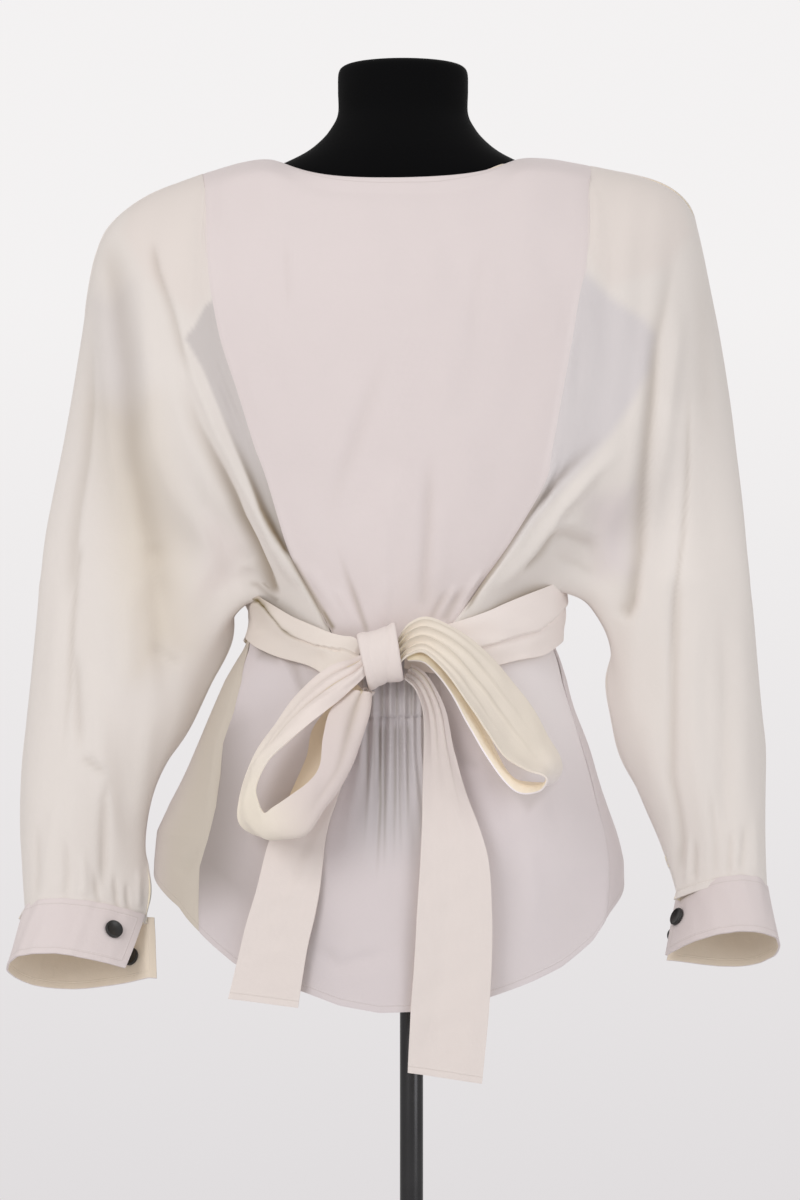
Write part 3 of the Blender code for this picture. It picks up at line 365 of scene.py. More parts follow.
# the same columns for the other sleeve
SLEEVE_RIGHT = [
    (153.5, 1410.5, 150.4, 1394.3, 151.9, 1402.4, 40, 42, 1, 0, 0, 0),
    (209.4, 1398.5, 149, 1355.1, 179.2, 1376.8, 64, 66, 1, 2, 0, 0),
    (237.8, 1378.7, 146.7, 1320.3, 192.2, 1349.5, 76, 78, 1, 5, 0, 0),
    (248.1, 1348.6, 140.6, 1291.4, 194.3, 1320, 80, 86, 1, 8, 0, 0),
    (255.8, 1310.8, 134.7, 1256.3, 195.3, 1283.6, 80, 90, 1, 11, 0, 0),
    (264.4, 1269.5, 126.4, 1211.2, 195.4, 1240.3, 80, 94, 1, 15, 0, 0),
    (273.9, 1211, 118, 1166, 196, 1188.5, 80, 96, 1, 19, 0, 0),
    (279.1, 1169.7, 111.3, 1135.1, 195.2, 1152.4, 80, 96, 0.95, 23, 0, 0),
    (284.2, 1126.7, 83.7, 1087.5, 168.8, 1118.1, 80, 92, 0.8, 27, 0.1, 0),
    (286.8, 1102.7, 52, 1042.3, 126.3, 1122.4, 80, 88, 0.62, 30, 0.25, 0),
    (288.5, 1082, 24.3, 994.2, 109.2, 1125, 87.7, 94.5, 0.5, 32, 0.4, 0),
    (291.1, 1058.8, 93.9, 1010.3, 111.8, 1118.1, 56.6, 61, 0.4, 34, 0.7, 0),
    (292, 1044.2, 122, 1043.9, 114.3, 1124.1, 0.2, 0.2, 0.2, 35, 1, 0),
    (293.7, 1032.1, 122.5, 1066.5, 194.3, 1062.8, 0.2, 0.2, 0.2, 36, 1, 0),
    (294.5, 1021.8, 149.2, 1046.8, 221.9, 1034.3, 0.2, 0.2, 0.2, 38, 1, 0),
    (295.4, 1009.8, 174.1, 1022.7, 234.8, 1016.2, 0.2, 0.2, 0.2, 40, 1, 0),
    (296.9, 990, 171.4, 996.1, 234.2, 993, 0.2, 0.2, 0.2, 40, 1, -2),
    (298.4, 965.2, 166.1, 967.7, 232.3, 966.5, 0.2, 0.2, 0.2, 40, 1, -4),
    (301.5, 936.1, 169.4, 937.8, 235.5, 936.9, 0.2, 0.2, 0.2, 38, 1, -7),
    (303.7, 910.5, 177.7, 904.5, 240.7, 907.5, 0.2, 0.2, 0.2, 36, 1, -11),
    (303.2, 879, 195.4, 868.8, 249.3, 873.9, 0.2, 0.2, 0.2, 33, 1, -15),
    (301.9, 849.4, 207.9, 842.5, 254.9, 845.9, 0.2, 0.2, 0.2, 31, 1, -19),
    (301.6, 823.9, 217.1, 819.7, 259.3, 821.8, 0.2, 0.2, 0.2, 30, 1, -22),
    (301.4, 806.2, 222, 802.8, 261.7, 804.5, 0.2, 0.2, 0.2, 29, 1, -24),
    (302.9, 791, 225.3, 788.5, 264.1, 789.7, 0.2, 0.2, 0.2, 25, 1, -26),
]
# back neck line and shoulder ridge: x z y (mm)
NECK_BACK = [
    (-179.3, 1403.7, 0), (-147.5, 1413.1, 0), (-120.7, 1417.3, -4), (-108.6, 1409.1, -31),
    (-94.3, 1400.3, -53), (-68.8, 1394.3, -63), (-38.4, 1391.8, -70), (-7.4, 1391.7, -71),
    (23.7, 1393, -70), (50.7, 1396.6, -62), (72.8, 1402.2, -54), (85.2, 1410.8, -37),
    (92.3, 1417.7, -4), (121.7, 1416.1, 0), (153.5, 1410.5, 0),
]

# sash round the waist: angle, top, bottom, lift towards the knot (mm)
SASH = [
    (-12.4, 1000.5, 971.5, 14), (-17, 1006.8, 971.5, 11), (-22, 1008.1, 974.8, 7),
    (-31, 1012.2, 983, 1), (-45, 1022.2, 989.4, 0), (-60, 1034.8, 996.7, 0), (-75, 1044.1, 1003.2, 0),
    (-90, 1047.6, 1006.3, 0), (-120, 1040, 994, 0), (-150, 1030, 984, 0), (-180, 1026, 981, 0),
    (-210, 1030, 984, 0), (-240, 1043, 994, 0), (-270, 1054.5, 1002.9, 0), (-285, 1053.5, 998.9, 0),
    (-300, 1047.4, 990.8, 0), (-315, 1039, 986.9, 0), (-330, 1027.3, 980.5, 0), (-342, 1019, 975.7, 0),
    (-351, 1014, 977.4, 3), (-358, 1009, 980.8, 7.4),
]
SASH_ROUND = sorted((r[0] + (360 if r[0] < -180 else 0), r[1]) for r in SASH)
# middle depth of the back panel and its share of the neck's curve, one value per sleeve row 0 to 10
BACK_MIDDLE = [76, 92, 99, 102, 103, 102, 100, 98, 95, 92, 91]
BACK_DIP = [0.92, 0.5, 0.25, 0.1, 0, 0, 0, 0, 0, 0, 0]
PANEL_ROWS = 10         # the panels end at this row of the sleeve tables
NECK_HEM = 0.19, 0.82   # shares of a panel's width between which its top is a turned edge
EVEN_ROUNDS = 14
# soft folds of the panel: points x z, half width, height out of the cloth (mm), and where given the depth of
# painted shade in the fold and the shares over which it fades in and out
BACK_FOLDS = [
    ([(-101, 1071), (-93, 1058), (-78, 1033), (-65, 1012)], 2.8, -3.2, 0.8, 0.1, 0.05),
    ([(-79, 1036), (-72, 1024), (-65, 1012)], 2.2, -1.0, 1.0, 0.5, 0.05),
    ([(-86, 1066), (-72, 1042), (-56, 1016)], 5.0, 2.2),
    ([(-61, 1078), (-54, 1056), (-46, 1034), (-37, 1010)], 2.8, -2.8, 0.5, 0.9, 0.05),
    ([(-66, 1050), (-56, 1034), (-46, 1014)], 4.0, 1.8),
    ([(-20, 1060), (-25, 1030), (-22, 1006)], 6.0, 1.4),
    ([(15, 1160), (14, 1114), (11, 1056), (10, 1026)], 5.0, -2.2, 0.16, 0.4, 0.1),
    ([(-20, 1246), (-45, 1172), (-74, 1098)], 8.0, -1.4, 0.06),
    ([(-105, 1342), (-104, 1310), (-103, 1276)], 3.4, -0.8, 0.06),
    ([(60, 1340), (54, 1290), (50, 1240)], 7.0, -0.8, 0.03),
    ([(26, 1130), (24, 1070), (20, 1030)], 9.0, 1.6),
    ([(-42, 1200), (-48, 1130), (-52, 1080)], 11.0, -1.2),
    ([(-12, 1150), (-20, 1090), (-28, 1040)], 9.0, 1.6),
    ([(46, 1048), (38, 1038), (27, 1020)], 3.6, -3.0, 0.3, 0.5, 0.05),
    ([(32, 1046), (22, 1032), (13, 1016)], 3.2, -2.8, 0.28, 0.5, 0.05),
    ([(39, 1050), (30, 1036), (20, 1018)], 3.6, 2.0),
    ([(60, 1062), (50, 1046), (40, 1030)], 4.0, 2.2),
    ([(-18, 1175), (-30, 1130), (-50, 1100)], 12.0, -1.0),
    ([(30, 1190), (60, 1170), (84, 1140)], 14.0, 1.2),
    ([(-118, 1385), (-60, 1372), (20, 1380)], 12.0, 0.8),
]


def smooth_low(a, b, width):
    """The lower of two arrays, rounded where they cross."""
    return 0.5 * (a + b - np.sqrt((a - b) ** 2 + width * width))


def ease(x):
    x = np.clip(x, 0.0, 1.0)
    return x * x * (3 - 2 * x)


def waist_depth(x, back):
    share = 1 - ((x - WAIST_X) / WAIST_HALF) ** 2
    return np.where(back, WAIST_BACK, WAIST_FRONT) * np.sqrt(np.maximum(share, 0))


def sash_top(x, back):
    """Height of the sash's upper edge at a place on the body (mm)."""
    turn = np.degrees(np.arcsin(np.clip((x - WAIST_X) / WAIST_HALF, -1, 1)))
    turn = np.where(back, turn, np.copysign(180 - np.abs(turn), turn))
    return looked_up(SASH_ROUND, turn)


def pinch(x, z, back):
    """Largest depth that the sash leaves the cloth at a place near the waist (mm)."""
    beyond = np.maximum(0, np.abs(x - WAIST_X) - WAIST_HALF)
    above = np.maximum(0, z - sash_top(x, back))
    return waist_depth(x, back) + 0.4 + 0.8 * above + 2 * np.maximum(0, above - 95) + 0.9 * beyond


def fold_height(table, x, z):
    """Height of folds at places in the cloth (mm), and how deep in shade they lie, 0 to 1.

    A fold is its line, half width or its two halves right and left of its way, height, shade,
    and the shares of its length over which it fades."""
    total, dark = np.zeros_like(x), np.zeros_like(x)
    for line, half, height, *more in table:
        shade, rise, fall = (list(more) + [0.0, 0.35, 0.35][len(more):])
        right, left = half if isinstance(half, tuple) else (half, half)
        line = np.array(line, float)
        steps = np.linalg.norm(np.diff(line, axis=0), axis=1)
        best, along, wide = np.full(x.shape, 1e9), np.zeros_like(x), np.full(x.shape, float(right))
        for k, step in enumerate(steps):
            dx, dz = (line[k + 1] - line[k]) / step
            t = np.clip((x - line[k, 0]) * dx + (z - line[k, 1]) * dz, 0, step)
            gap = np.hypot(x - line[k, 0] - t * dx, z - line[k, 1] - t * dz)
            nearer = gap < best
            best = np.where(nearer, gap, best)
            along = np.where(nearer, steps[:k].sum() + t, along)
            turned_left = dx * (z - line[k, 1]) > dz * (x - line[k, 0])
            wide = np.where(nearer, np.where(turned_left, left, right), wide)
        share = along / steps.sum()
        ends = ease(share / rise + 0.1) * ease((1 - share) / fall + 0.1)
        total += height * ends * np.exp(-(best / wide) ** 2)
        dark = np.maximum(dark, shade * ends * np.exp(-(best / (0.85 * wide)) ** 2))
    return total, dark


def unrest(x, z, seed, shortest, longest):
    """Gentle unevenness of hanging cloth: waves of many directions, about -1 to 1."""
    draw = np.random.default_rng(seed)
    total = np.zeros_like(x)
    for _ in range(WAVES):
        wave = shortest * (longest / shortest) ** draw.random()
        turn, shift = draw.random() * math.pi, draw.random() * 2 * math.pi
        total += np.sin((x * math.cos(turn) + z * math.sin(turn)) * 2 * math.pi / wave + shift)
    return total / math.sqrt(WAVES)


def soften(places, rounds):
    """Evens out a grid of places and leaves its edges where they are."""
    out = places.copy()
    for _ in range(rounds):
        middle = (out[:-2, 1:-1] + out[2:, 1:-1] + out[1:-1, :-2] + out[1:-1, 2:]) / 4
        out[1:-1, 1:-1] += 0.6 * (middle - out[1:-1, 1:-1])
    return out


def relax_along(places, rounds, weight):
    """Evens out the columns of a grid along their length, by a weight at each place."""
    out = places.copy()
    for _ in range(rounds):
        out[1:-1] += 0.5 * weight[1:-1, :, None] * ((out[:-2] + out[2:]) / 2 - out[1:-1])
    return out


def outward(places):
    """Unit normals of a grid of places, whose columns run so that they point outwards."""
    out = np.cross(np.gradient(places, axis=1), np.gradient(places, axis=0))
    return out / (np.linalg.norm(out, axis=2, keepdims=True) + 1e-9)


def raised(places, heights):
    """Places moved out of the cloth by heights (mm)."""
    return places + outward(places) * heights[..., None]


def lengths(places, axis):
    """How far along the cloth each place is, from the middle of its row or column (mm)."""
    steps = np.linalg.norm(np.diff(places, axis=axis), axis=2)
    run = np.cumsum(steps, axis=axis)
    run = np.concatenate([np.zeros_like(np.take(run, [0], axis)), run], axis)
    return run - np.take(run, [run.shape[axis] // 2], axis)


def mark_cloth(mesh, tone, edge):
    """Gives each vertex its colour share, painted shade and light included, and how far it lies from a hem
    (mm).
    """
    mesh.attributes.new("tone", "FLOAT_COLOR", "POINT")
    colors = np.concatenate([tone, np.ones((len(tone), 1))], axis=1)
    mesh.attributes["tone"].data.foreach_set("color", colors.ravel())
    mesh.attributes.new("edge", "FLOAT", "POINT")
    mesh.attributes["edge"].data.foreach_set("value", edge)


def sheet_of(name, places, tone, edge, wall=WALL):
    """Cloth shell: a grid laid on rows and columns of places, thickened towards its inner side."""
    rows, columns = places.shape[:2]
    bm = bmesh.new()
    bmesh.ops.create_grid(bm, x_segments=columns - 1, y_segments=rows - 1, size=0.5)
    mesh = mesh_of(name, bm)
    spots = np.empty(len(mesh.vertices) * 3)
    mesh.vertices.foreach_get("co", spots)
    spots = spots.reshape(-1, 3)
    column = np.rint((spots[:, 0] + 0.5) * (columns - 1)).astype(int)
    row = np.rint((spots[:, 1] + 0.5) * (rows - 1)).astype(int)
    mesh.vertices.foreach_set("co", (places[row, column] * MM).ravel())
    corner = np.empty(len(mesh.loops), int)
    mesh.loops.foreach_get("vertex_index", corner)
    along = np.stack([lengths(places, 1), lengths(places, 0)], axis=2) * MM
    mesh.uv_layers.new(name="cloth")
    mesh.uv_layers["cloth"].data.foreach_set("uv", along[row[corner], column[corner]].ravel())
    mark_cloth(mesh, tone[row, column], edge[row, column])
    made = object_of(name, mesh, crepe)
    mesh.materials.append(crepe_inside_glow)
    solid = made.modifiers.new("wall", "SOLIDIFY")
    solid.thickness, solid.offset, solid.material_offset = wall * MM, -1.0, 1
    rim = made.modifiers.new("rim", "BEVEL")
    rim.width, rim.segments, rim.limit_method, rim.angle_limit = RIM * MM, 2, "ANGLE", math.radians(65)
    return made


def faded(look, value, start, end):
    """1 up to the start, 0 from the end on, smooth between them."""
    return look.node("ShaderNodeMapRange", {"interpolation_type": "SMOOTHSTEP"},
                     {"Value": value, "From Min": start, "From Max": end, "To Min": 1.0, "To Max": 0.0})


def crepe_look(name, color, inner):
    """Matt crepe: fine plain weave, slubs, soft crumples, and stitches along its hems. The inner side has a
    painted warm glow instead of the stitches' colour.
    """
    look = Look(name, {"Roughness": 0.82, "Sheen Weight": 0.12, "Sheen Roughness": 0.4,
                       "Specular IOR Level": 0.25})
    where = place_of(look)
    weave = place_of(look, which="UV")
    warp, weft = (ribbed(look, weave, way, THREADS, 0.5, 3.0) for way in "XY")
    slub = speckle(look, place_of(look, (260.0, 1500.0, 1.0), "UV"), 1.0, 2.0)
    crumple = speckle(look, where, 38.0, 5.0, 0.62)
    cloudy = speckle(look, where, 7.0, 2.0)
    tone = look.node("ShaderNodeAttribute", {"attribute_name": "tone"}, {}, "Color")
    edge = look.node("ShaderNodeAttribute", {"attribute_name": "edge"}, {}, "Fac")
    hem = faded(look, edge, HEM_WIDE - 0.6, HEM_WIDE + 0.6)
    seam = faded(look, look.math("ABSOLUTE", edge - (HEM_WIDE - STITCH_IN)), 0.1, 0.7)
    mottled = mixed(look, cloudy * 0.5 + slub * 0.3, color, tuple(c * 0.955 for c in color[:3]) + (1,))
    toned = look.node("ShaderNodeMix", {"data_type": "RGBA", "blend_type": "MULTIPLY"},
                      {0: 1.0, 6: mottled, 7: tone}, 2)
    threads = (warp + weft) * 0.16 + slub * 0.35
    # the inner side glows: painted light through emission, in the colour of its painted warm bounce
    if inner:
        look.shader.inputs["Emission Strength"].default_value = GLOW
        look.feed(Emission_Color=toned)
    look.feed(
        Base_Color=toned if inner else mixed(look, seam * 0.16, toned, (0.42, 0.36, 0.3, 1)),
        Normal=bumped(look, threads * 0.5 + crumple * 1.1 + hem * 0.5 - seam * 0.45, 0.55, 0.0006),
    )
    return look.material


CREAM = (0.787, 0.706, 0.705, 1)
# colour of the cloth's inner side: the cream with a painted warm bounce of light inside folds and loops
INSIDE_WARM_BOUNCE = (0.75, 0.655, 0.55, 1)
crepe = crepe_look("cream_crepe", CREAM, False)
crepe_inside_glow = crepe_look("cream_crepe_inside", INSIDE_WARM_BOUNCE, True)
# colour shares of the cream: single cloth over the black form, over a pad, away from both, and the painted
# shade of a deep fold
OVER_FORM = {-1: (0.775, 0.77, 0.79), 1: (0.877, 0.883, 0.936)}
OVER_PAD = (0.99, 0.97, 0.965)
SINGLE = (1.04, 1.08, 1.035)
FOLD_SHADE = (0.50, 0.46, 0.37)


def blended(low, high, share):
    """Colour shares mixed by an array of shares."""
    return np.array(low) + (np.array(high) - np.array(low)) * share[..., None]


def tinted(tone, color, share):
    """Colour shares multiplied by another one, as far as an array of shares says."""
    return tone * blended(np.ones(3), color, share)


def evened(line):
    """Rounds the corners of one row of values and leaves its ends."""
    out = line.copy()
    for _ in range(EVEN_ROUNDS):
        out[:, 1:-1] += 0.25 * (out[:, :-2] + out[:, 2:] - 2 * out[:, 1:-1])
    return out


def panel_places(neck, middle, dips, back, us, rs):
    """Surface of an upper panel: us from the left seam to the right, rs from -1 at the top to 10."""
    (x0, z0), (x1, z1) = neck[0][:2], neck[-1][:2]
    u, r = us[None, :], rs[:, None]
    top_x = x0 + (x1 - x0) * u
    top_z = evened(looked_up(neck, top_x))
    top_y = evened(np.abs(looked_up(neck, top_x, 2)))
    row = np.maximum(rs, 0)
    left = rows_at(SLEEVE_LEFT, row / (len(SLEEVE_LEFT) - 1))[:, None, :]
    right = rows_at(SLEEVE_RIGHT, row / (len(SLEEVE_RIGHT) - 1))[:, None, :]
    depth = 6 if back else 7
    spans = np.arange(PANEL_ROWS + 1)
    x = left[..., 2] + (right[..., 2] - left[..., 2]) * u
    dip = top_z - (z0 + (z1 - z0) * u)
    z = left[..., 3] + (right[..., 3] - left[..., 3]) * u + dip * np.interp(row, spans, dips)[:, None]
    side = left[..., depth] + (right[..., depth] - left[..., depth]) * u
    bow = 1 - (2 * u - 1) ** 2
    y = side + (np.interp(row, spans, middle)[:, None] - side) * bow
    y = np.where(r > 2, smooth_low(y, pinch(x, z, back) + 0.3, 1.2), y)
    turn = (np.minimum(r, 0) + 1) * math.pi / 2
    rise = 1 - np.cos(turn)
    reach = 0.45 * rise + 0.55 * np.sin(turn)
    x = np.where(r < 0, top_x + (x - top_x) * rise, x)
    z = np.where(r < 0, top_z + (z - top_z) * rise, z)
    y = np.where(r < 0, top_y + (y - top_y) * reach, y)
    y = np.where(r < -0.999, np.maximum(y, 0.18), y)
    return np.stack([x, -y if back else y, z], axis=2)


def fine_steps(count, tight):
    """Numbers from 0 to 1 that lie closer together near both ends."""
    t = np.linspace(0, 1, count + 1)
    return t - tight * np.sin(2 * math.pi * t) / (2 * math.pi)


def patch_share(corners, x, z, soft):
    """1 inside a patch with these corners, 0 outside, soft at its outline (mm)."""
    corners = np.array(corners, float)
    best, inside = np.full(x.shape, 1e9), np.zeros(x.shape, bool)
    for (x0, z0), (x1, z1) in zip(corners, np.roll(corners, -1, axis=0)):
        dx, dz = x1 - x0, z1 - z0
        t = np.clip(((x - x0) * dx + (z - z0) * dz) / (dx * dx + dz * dz), 0, 1)
        best = np.minimum(best, np.hypot(x - x0 - t * dx, z - z0 - t * dz))
        crossing = (z0 > z) != (z1 > z)
        inside ^= crossing & (x < x0 + (z - z0) * dx / (dz if dz else 1e-9))
    return ease(0.5 + np.where(inside, best, -best) / soft)


def near_waist(places, back):
    """0 under the sash, 1 well above it."""
    return ease((places[..., 2] - sash_top(places[..., 0], back) - 4) / 30)


def seam_roll(places, deep=0.8, wide=2.2, tuck=0.0):
    """Sinks the first and last columns, as the cloth turns in to a seam, and tucks them under it."""
    run = lengths(places, 1)
    first, last = run - run[:, :1], run[:, -1:] - run
    sink = np.exp(-(first / wide) ** 2) + np.exp(-(last / wide) ** 2)
    out = raised(places, -deep * sink)
    for end, inner in ((0, 1), (-1, -2)):
        way = places[:, end] - places[:, inner]
        out[:, end] += tuck * way / (np.linalg.norm(way, axis=1, keepdims=True) + 1e-9)
    return out


def panel_of(name, neck, middle, dips, folds, us, rows, rounds, uneven):
    """Upper panel: its surface with folds, rolled seams, tone and turned neck edge.

    rows are those over the shoulder and those below it, uneven is height, seed and the waves' range."""
    back = neck is NECK_BACK
    rs = np.concatenate([np.linspace(-1, 0, rows[0])[:-1], np.linspace(0, PANEL_ROWS, rows[1])])
    places = soften(panel_places(neck, middle, dips, back, us, rs), rounds)
    x, z = places[..., 0], places[..., 2]
    heights, dark = fold_height(folds, x, z)
    height, *waves = uneven
    heights += height * unrest(x, z * 0.45, *waves)
    edges = ease(us / 0.05) * ease((1 - us) / 0.05)
    fade = (near_waist(places, back) * 0.85 + 0.15) * edges[None, :] * ease((rs + 1) / 1.2)[:, None]
    places = raised(places, heights * fade)
    z = places[..., 2]
    places = seam_roll(places, 0.4, 1.8, 0.9)
    # painted shade in the troughs of the folds
    tone = tinted(1.0, FOLD_SHADE, dark)
    if back:
        # a lighter strip along the right seam
        run = lengths(places, 1)
        strip = np.exp(-(((run - run[:, :1]) / 6.0) ** 4)) * ease((z - 1110) / 60) * ease((1330 - z) / 60)
        tone = tinted(tone, (1.06, 1.07, 1.07), strip)
    down = lengths(places, 0)
    edge = np.where((us > NECK_HEM[0]) & (us < NECK_HEM[1]), down - down[:1], NO_HEM)
    return sheet_of(name, places, tone, edge)


back = show(panel_of("back_panel", NECK_BACK, BACK_MIDDLE, BACK_DIP, BACK_FOLDS,
                     fine_steps(140, 0.75)[::-1],
                     (24, 170), 12, (0.55, 3, 26, 80)), "back_upper")


# Front panel of the blouse, from the neck to the waist
# It mirrors the back, with a lower neck curve and the same narrow turned edge.
# front neck line and shoulder ridge: x z y (mm)
NECK_FRONT = [
    (-179.3, 1403.7, 0), (-147.5, 1413.1, 0), (-120.8, 1417.8, 4), (-110.5, 1405.4, 42),
    (-97.6, 1387.3, 60), (-71.8, 1368.4, 72), (-39.1, 1357.2, 82), (-7.3, 1354.6, 86),
    (24.5, 1357.2, 82), (53.7, 1368.4, 72), (77, 1387.3, 61), (87.3, 1405.4, 44), (92.4, 1418.3, 4),
    (121.7, 1416.1, 0), (153.5, 1410.5, 0),
]
FRONT_MIDDLE = [92, 108, 116, 121, 124, 123, 118, 112, 104, 99, 98]
FRONT_DIP = [0.93, 0.72, 0.52, 0.33, 0.18, 0.08, 0, 0, 0, 0, 0]
FRONT_FOLDS = [
    ([(-70, 1312), (-57, 1166), (-40, 1037)], 13.0, 2.2),
    ([(59, 1295), (50, 1166), (33, 1028)], 12.0, 2.2),
    ([(-6, 1270), (-6, 1149), (-8, 1020)], 8.6, -2.0),
    ([(-64, 1090), (-58, 1050), (-50, 1010)], 5.0, -2.8),
    ([(62, 1090), (52, 1050), (40, 1014)], 5.0, -2.8),
    ([(-26, 1080), (-28, 1045), (-24, 1010)], 5.0, -1.8),
    ([(24, 1100), (22, 1060), (12, 1014)], 5.0, -1.8),
]

front = show(panel_of("front_panel", NECK_FRONT, FRONT_MIDDLE, FRONT_DIP, FRONT_FOLDS, fine_steps(100, 0.7),
                      (18, 120), 10, (0.6, 5, 28, 90)), "front_upper")


# Sleeves, cut in one with the sides of the blouse
# Wide sleeves of the single cream crepe in a back and a front half, sewn along the arm,
# pulled in to the waist by the sash, with soft folds and gathers above the cuffs.
CUFF_LEAN = 0.6         # slope of the cuff opening, rise per depth
CUFF_WIDENS, CUFF_SWINGS, CUFF_END = 5, 26, 2.6     # from top to opening, and half depth at the seam end, mm
CUFF_PEAK = 0.385       # largest value of a * sqrt(1 - a)
# columns, rows and rounds of evening out of each half
SLEEVE_GRID = {"back": (128, 180, 370), "front": (64, 150, 260)}
# cuffs: outer fold and seam end x z at the top and at the opening, middle y, depth (mm)
CUFF_SHAPE = {
    -1: ((-329.5, 771.9), (-225.0, 768.5), (-341.5, 727.0), (-222.0, 720.0), -33, 25),
    1: ((303.5, 790.6), (225.0, 788.1), (311.0, 743.5), (211.5, 741.0), -26, 25),
}
SLEEVE_BACK_FOLDS = [
    ([(-172, 1250), (-160, 1221), (-138, 1173), (-123, 1129), (-108, 1090), (-102, 1076)],
     4.2, -4.6, 0.0, 0.5, 0.22),
    ([(-80, 1036), (-74, 1024), (-67, 1012)], 2.2, -1.0, 1.0, 0.5, 0.05),
    ([(-127, 1053), (-123, 1049), (-119, 1046)], 1.8, -1.0, 0.7, 0.3, 0.3),
    ([(-102, 1074), (-96, 1063), (-84, 1042), (-76, 1028), (-69, 1014)],
     (2.6, 2.8), -1.0, 0.9, 0.06, 0.03),
    ([(-158, 1190), (-141, 1152), (-125, 1114), (-114, 1093), (-102, 1072)],
     (1.6, 4.6), -0.6, 1.25, 0.9, 0.06),
    ([(-192, 1221), (-179, 1185), (-158, 1145), (-149, 1126), (-142, 1107), (-132, 1087),
      (-124, 1068), (-112, 1041)],
     (8.0, 2.6), -6.5, 0.95, 0.85, 0.05),
    ([(-221, 1344), (-214, 1313), (-201, 1278), (-192, 1246), (-184, 1222)],
     (6.0, 3.0), -2.6, 0.26, 0.2, 0.3),
    ([(-206, 1290), (-181, 1221), (-163, 1179), (-143, 1138), (-121, 1096), (-109, 1073), (-94, 1045)],
     5.5, 4.4, 0.0, 0.4, 0.1),
    ([(-214, 1250), (-190, 1180), (-168, 1130), (-150, 1096)], 12.0, 3.0),
    ([(-150, 1056), (-143, 1066), (-134, 1066), (-124, 1056), (-114, 1044)], 4.0, 2.6, 0.0, 0.2, 0.1),
    ([(-140, 1052), (-131, 1050), (-122, 1042), (-113, 1036)], 3.0, -2.0, 0.42, 0.3, 0.05),
    ([(-261, 1347), (-252, 1294), (-243, 1236), (-237, 1160), (-227, 1106), (-212, 1048), (-203, 999)],
     (7.5, 14.0), -4.6, 0.26, 0.12, 0.3),
    ([(-262, 1330), (-264, 1280), (-258, 1220), (-254, 1154), (-248, 1090)], 8.0, 3.4),
    ([(-232, 1330), (-228, 1288), (-220, 1220), (-212, 1154), (-196, 1100)], 10.0, 3.2),
    ([(-272, 1276), (-272, 1204), (-276, 1160), (-284, 1115), (-287, 1087), (-289, 1026)],
     (9.0, 3.2), -3.2, 0.26, 0.4, 0.2),
    ([(225, 1336), (207, 1256), (203, 1203), (197, 1137), (195, 1079), (187, 1035), (180, 1018)],
     (9.0, 4.0), -5.0, 0.42, 0.5, 0.04),
    ([(206, 1290), (192, 1204), (184, 1140), (178, 1090)], 9.0, 2.6),
    ([(228, 1300), (218, 1204), (210, 1138), (206, 1080)], 7.0, 3.4),
    ([(236, 1220), (235, 1179), (234, 1137), (231, 1092), (225, 1048), (221, 990), (220, 940)],
     (2.6, 2.6), -1.8, 0.28, 0.3, 0.3),
    ([(160, 1172), (143, 1157), (117, 1130), (98, 1108), (78, 1079), (57, 1049), (46, 1029)],
     (6.5, 2.4), -6.5, 0.85, 0.55, 0.04),
    ([(176, 1166), (150, 1140), (126, 1114), (106, 1086), (86, 1060), (68, 1040)],
     5.5, 5.0, 0.0, 0.4, 0.15),
    ([(124, 1098), (114, 1086), (106, 1074), (92, 1062)], 4.0, -2.4, 0.45, 0.3, 0.2),
    ([(110, 1086), (128, 1092), (149, 1084), (156, 1074)], 4.0, -2.0, 0.16),
    ([(112, 1096), (134, 1102), (160, 1090)], 5.0, 2.2),
    ([(120, 1074), (140, 1068), (158, 1058)], 4.0, -1.6, 0.12),
    ([(246, 1330), (250, 1250), (252, 1160)], 9.0, -2.2, 0.08),
    ([(196, 1072), (191, 1043), (183, 1020)], 4.5, -2.4),
]
SLEEVE_FRONT_FOLDS = [
    ([(-199, 1295), (-156, 1192), (-96, 1040)], 11.0, 4.2),
    ([(-225, 1270), (-182, 1158), (-129, 1054)], 6.0, -3.4),
    ([(-180, 1240), (-140, 1150), (-104, 1070)], 6.0, -3.0),
    ([(-96, 1089), (-79, 1046), (-57, 1003)], 5.0, -3.2),
    ([(196, 1270), (154, 1175), (93, 1054)], 11.0, 4.2),
    ([(214, 1226), (171, 1140), (117, 1072)], 6.0, -3.4),
    ([(180, 1230), (140, 1150), (96, 1080)], 6.0, -2.8),
    ([(76, 1089), (59, 1046), (43, 1011)], 5.0, -3.2),
    ([(-258, 1347), (-249, 1295), (-242, 1192)], 8.0, -2.6),
    ([(240, 1347), (231, 1270), (222, 1166)], 8.0, -2.6),
    ([(-262, 1230), (-258, 1160), (-262, 1090)], 10.0, 1.8),
    ([(254, 1240), (252, 1160), (256, 1080)], 9.0, 1.8),
]
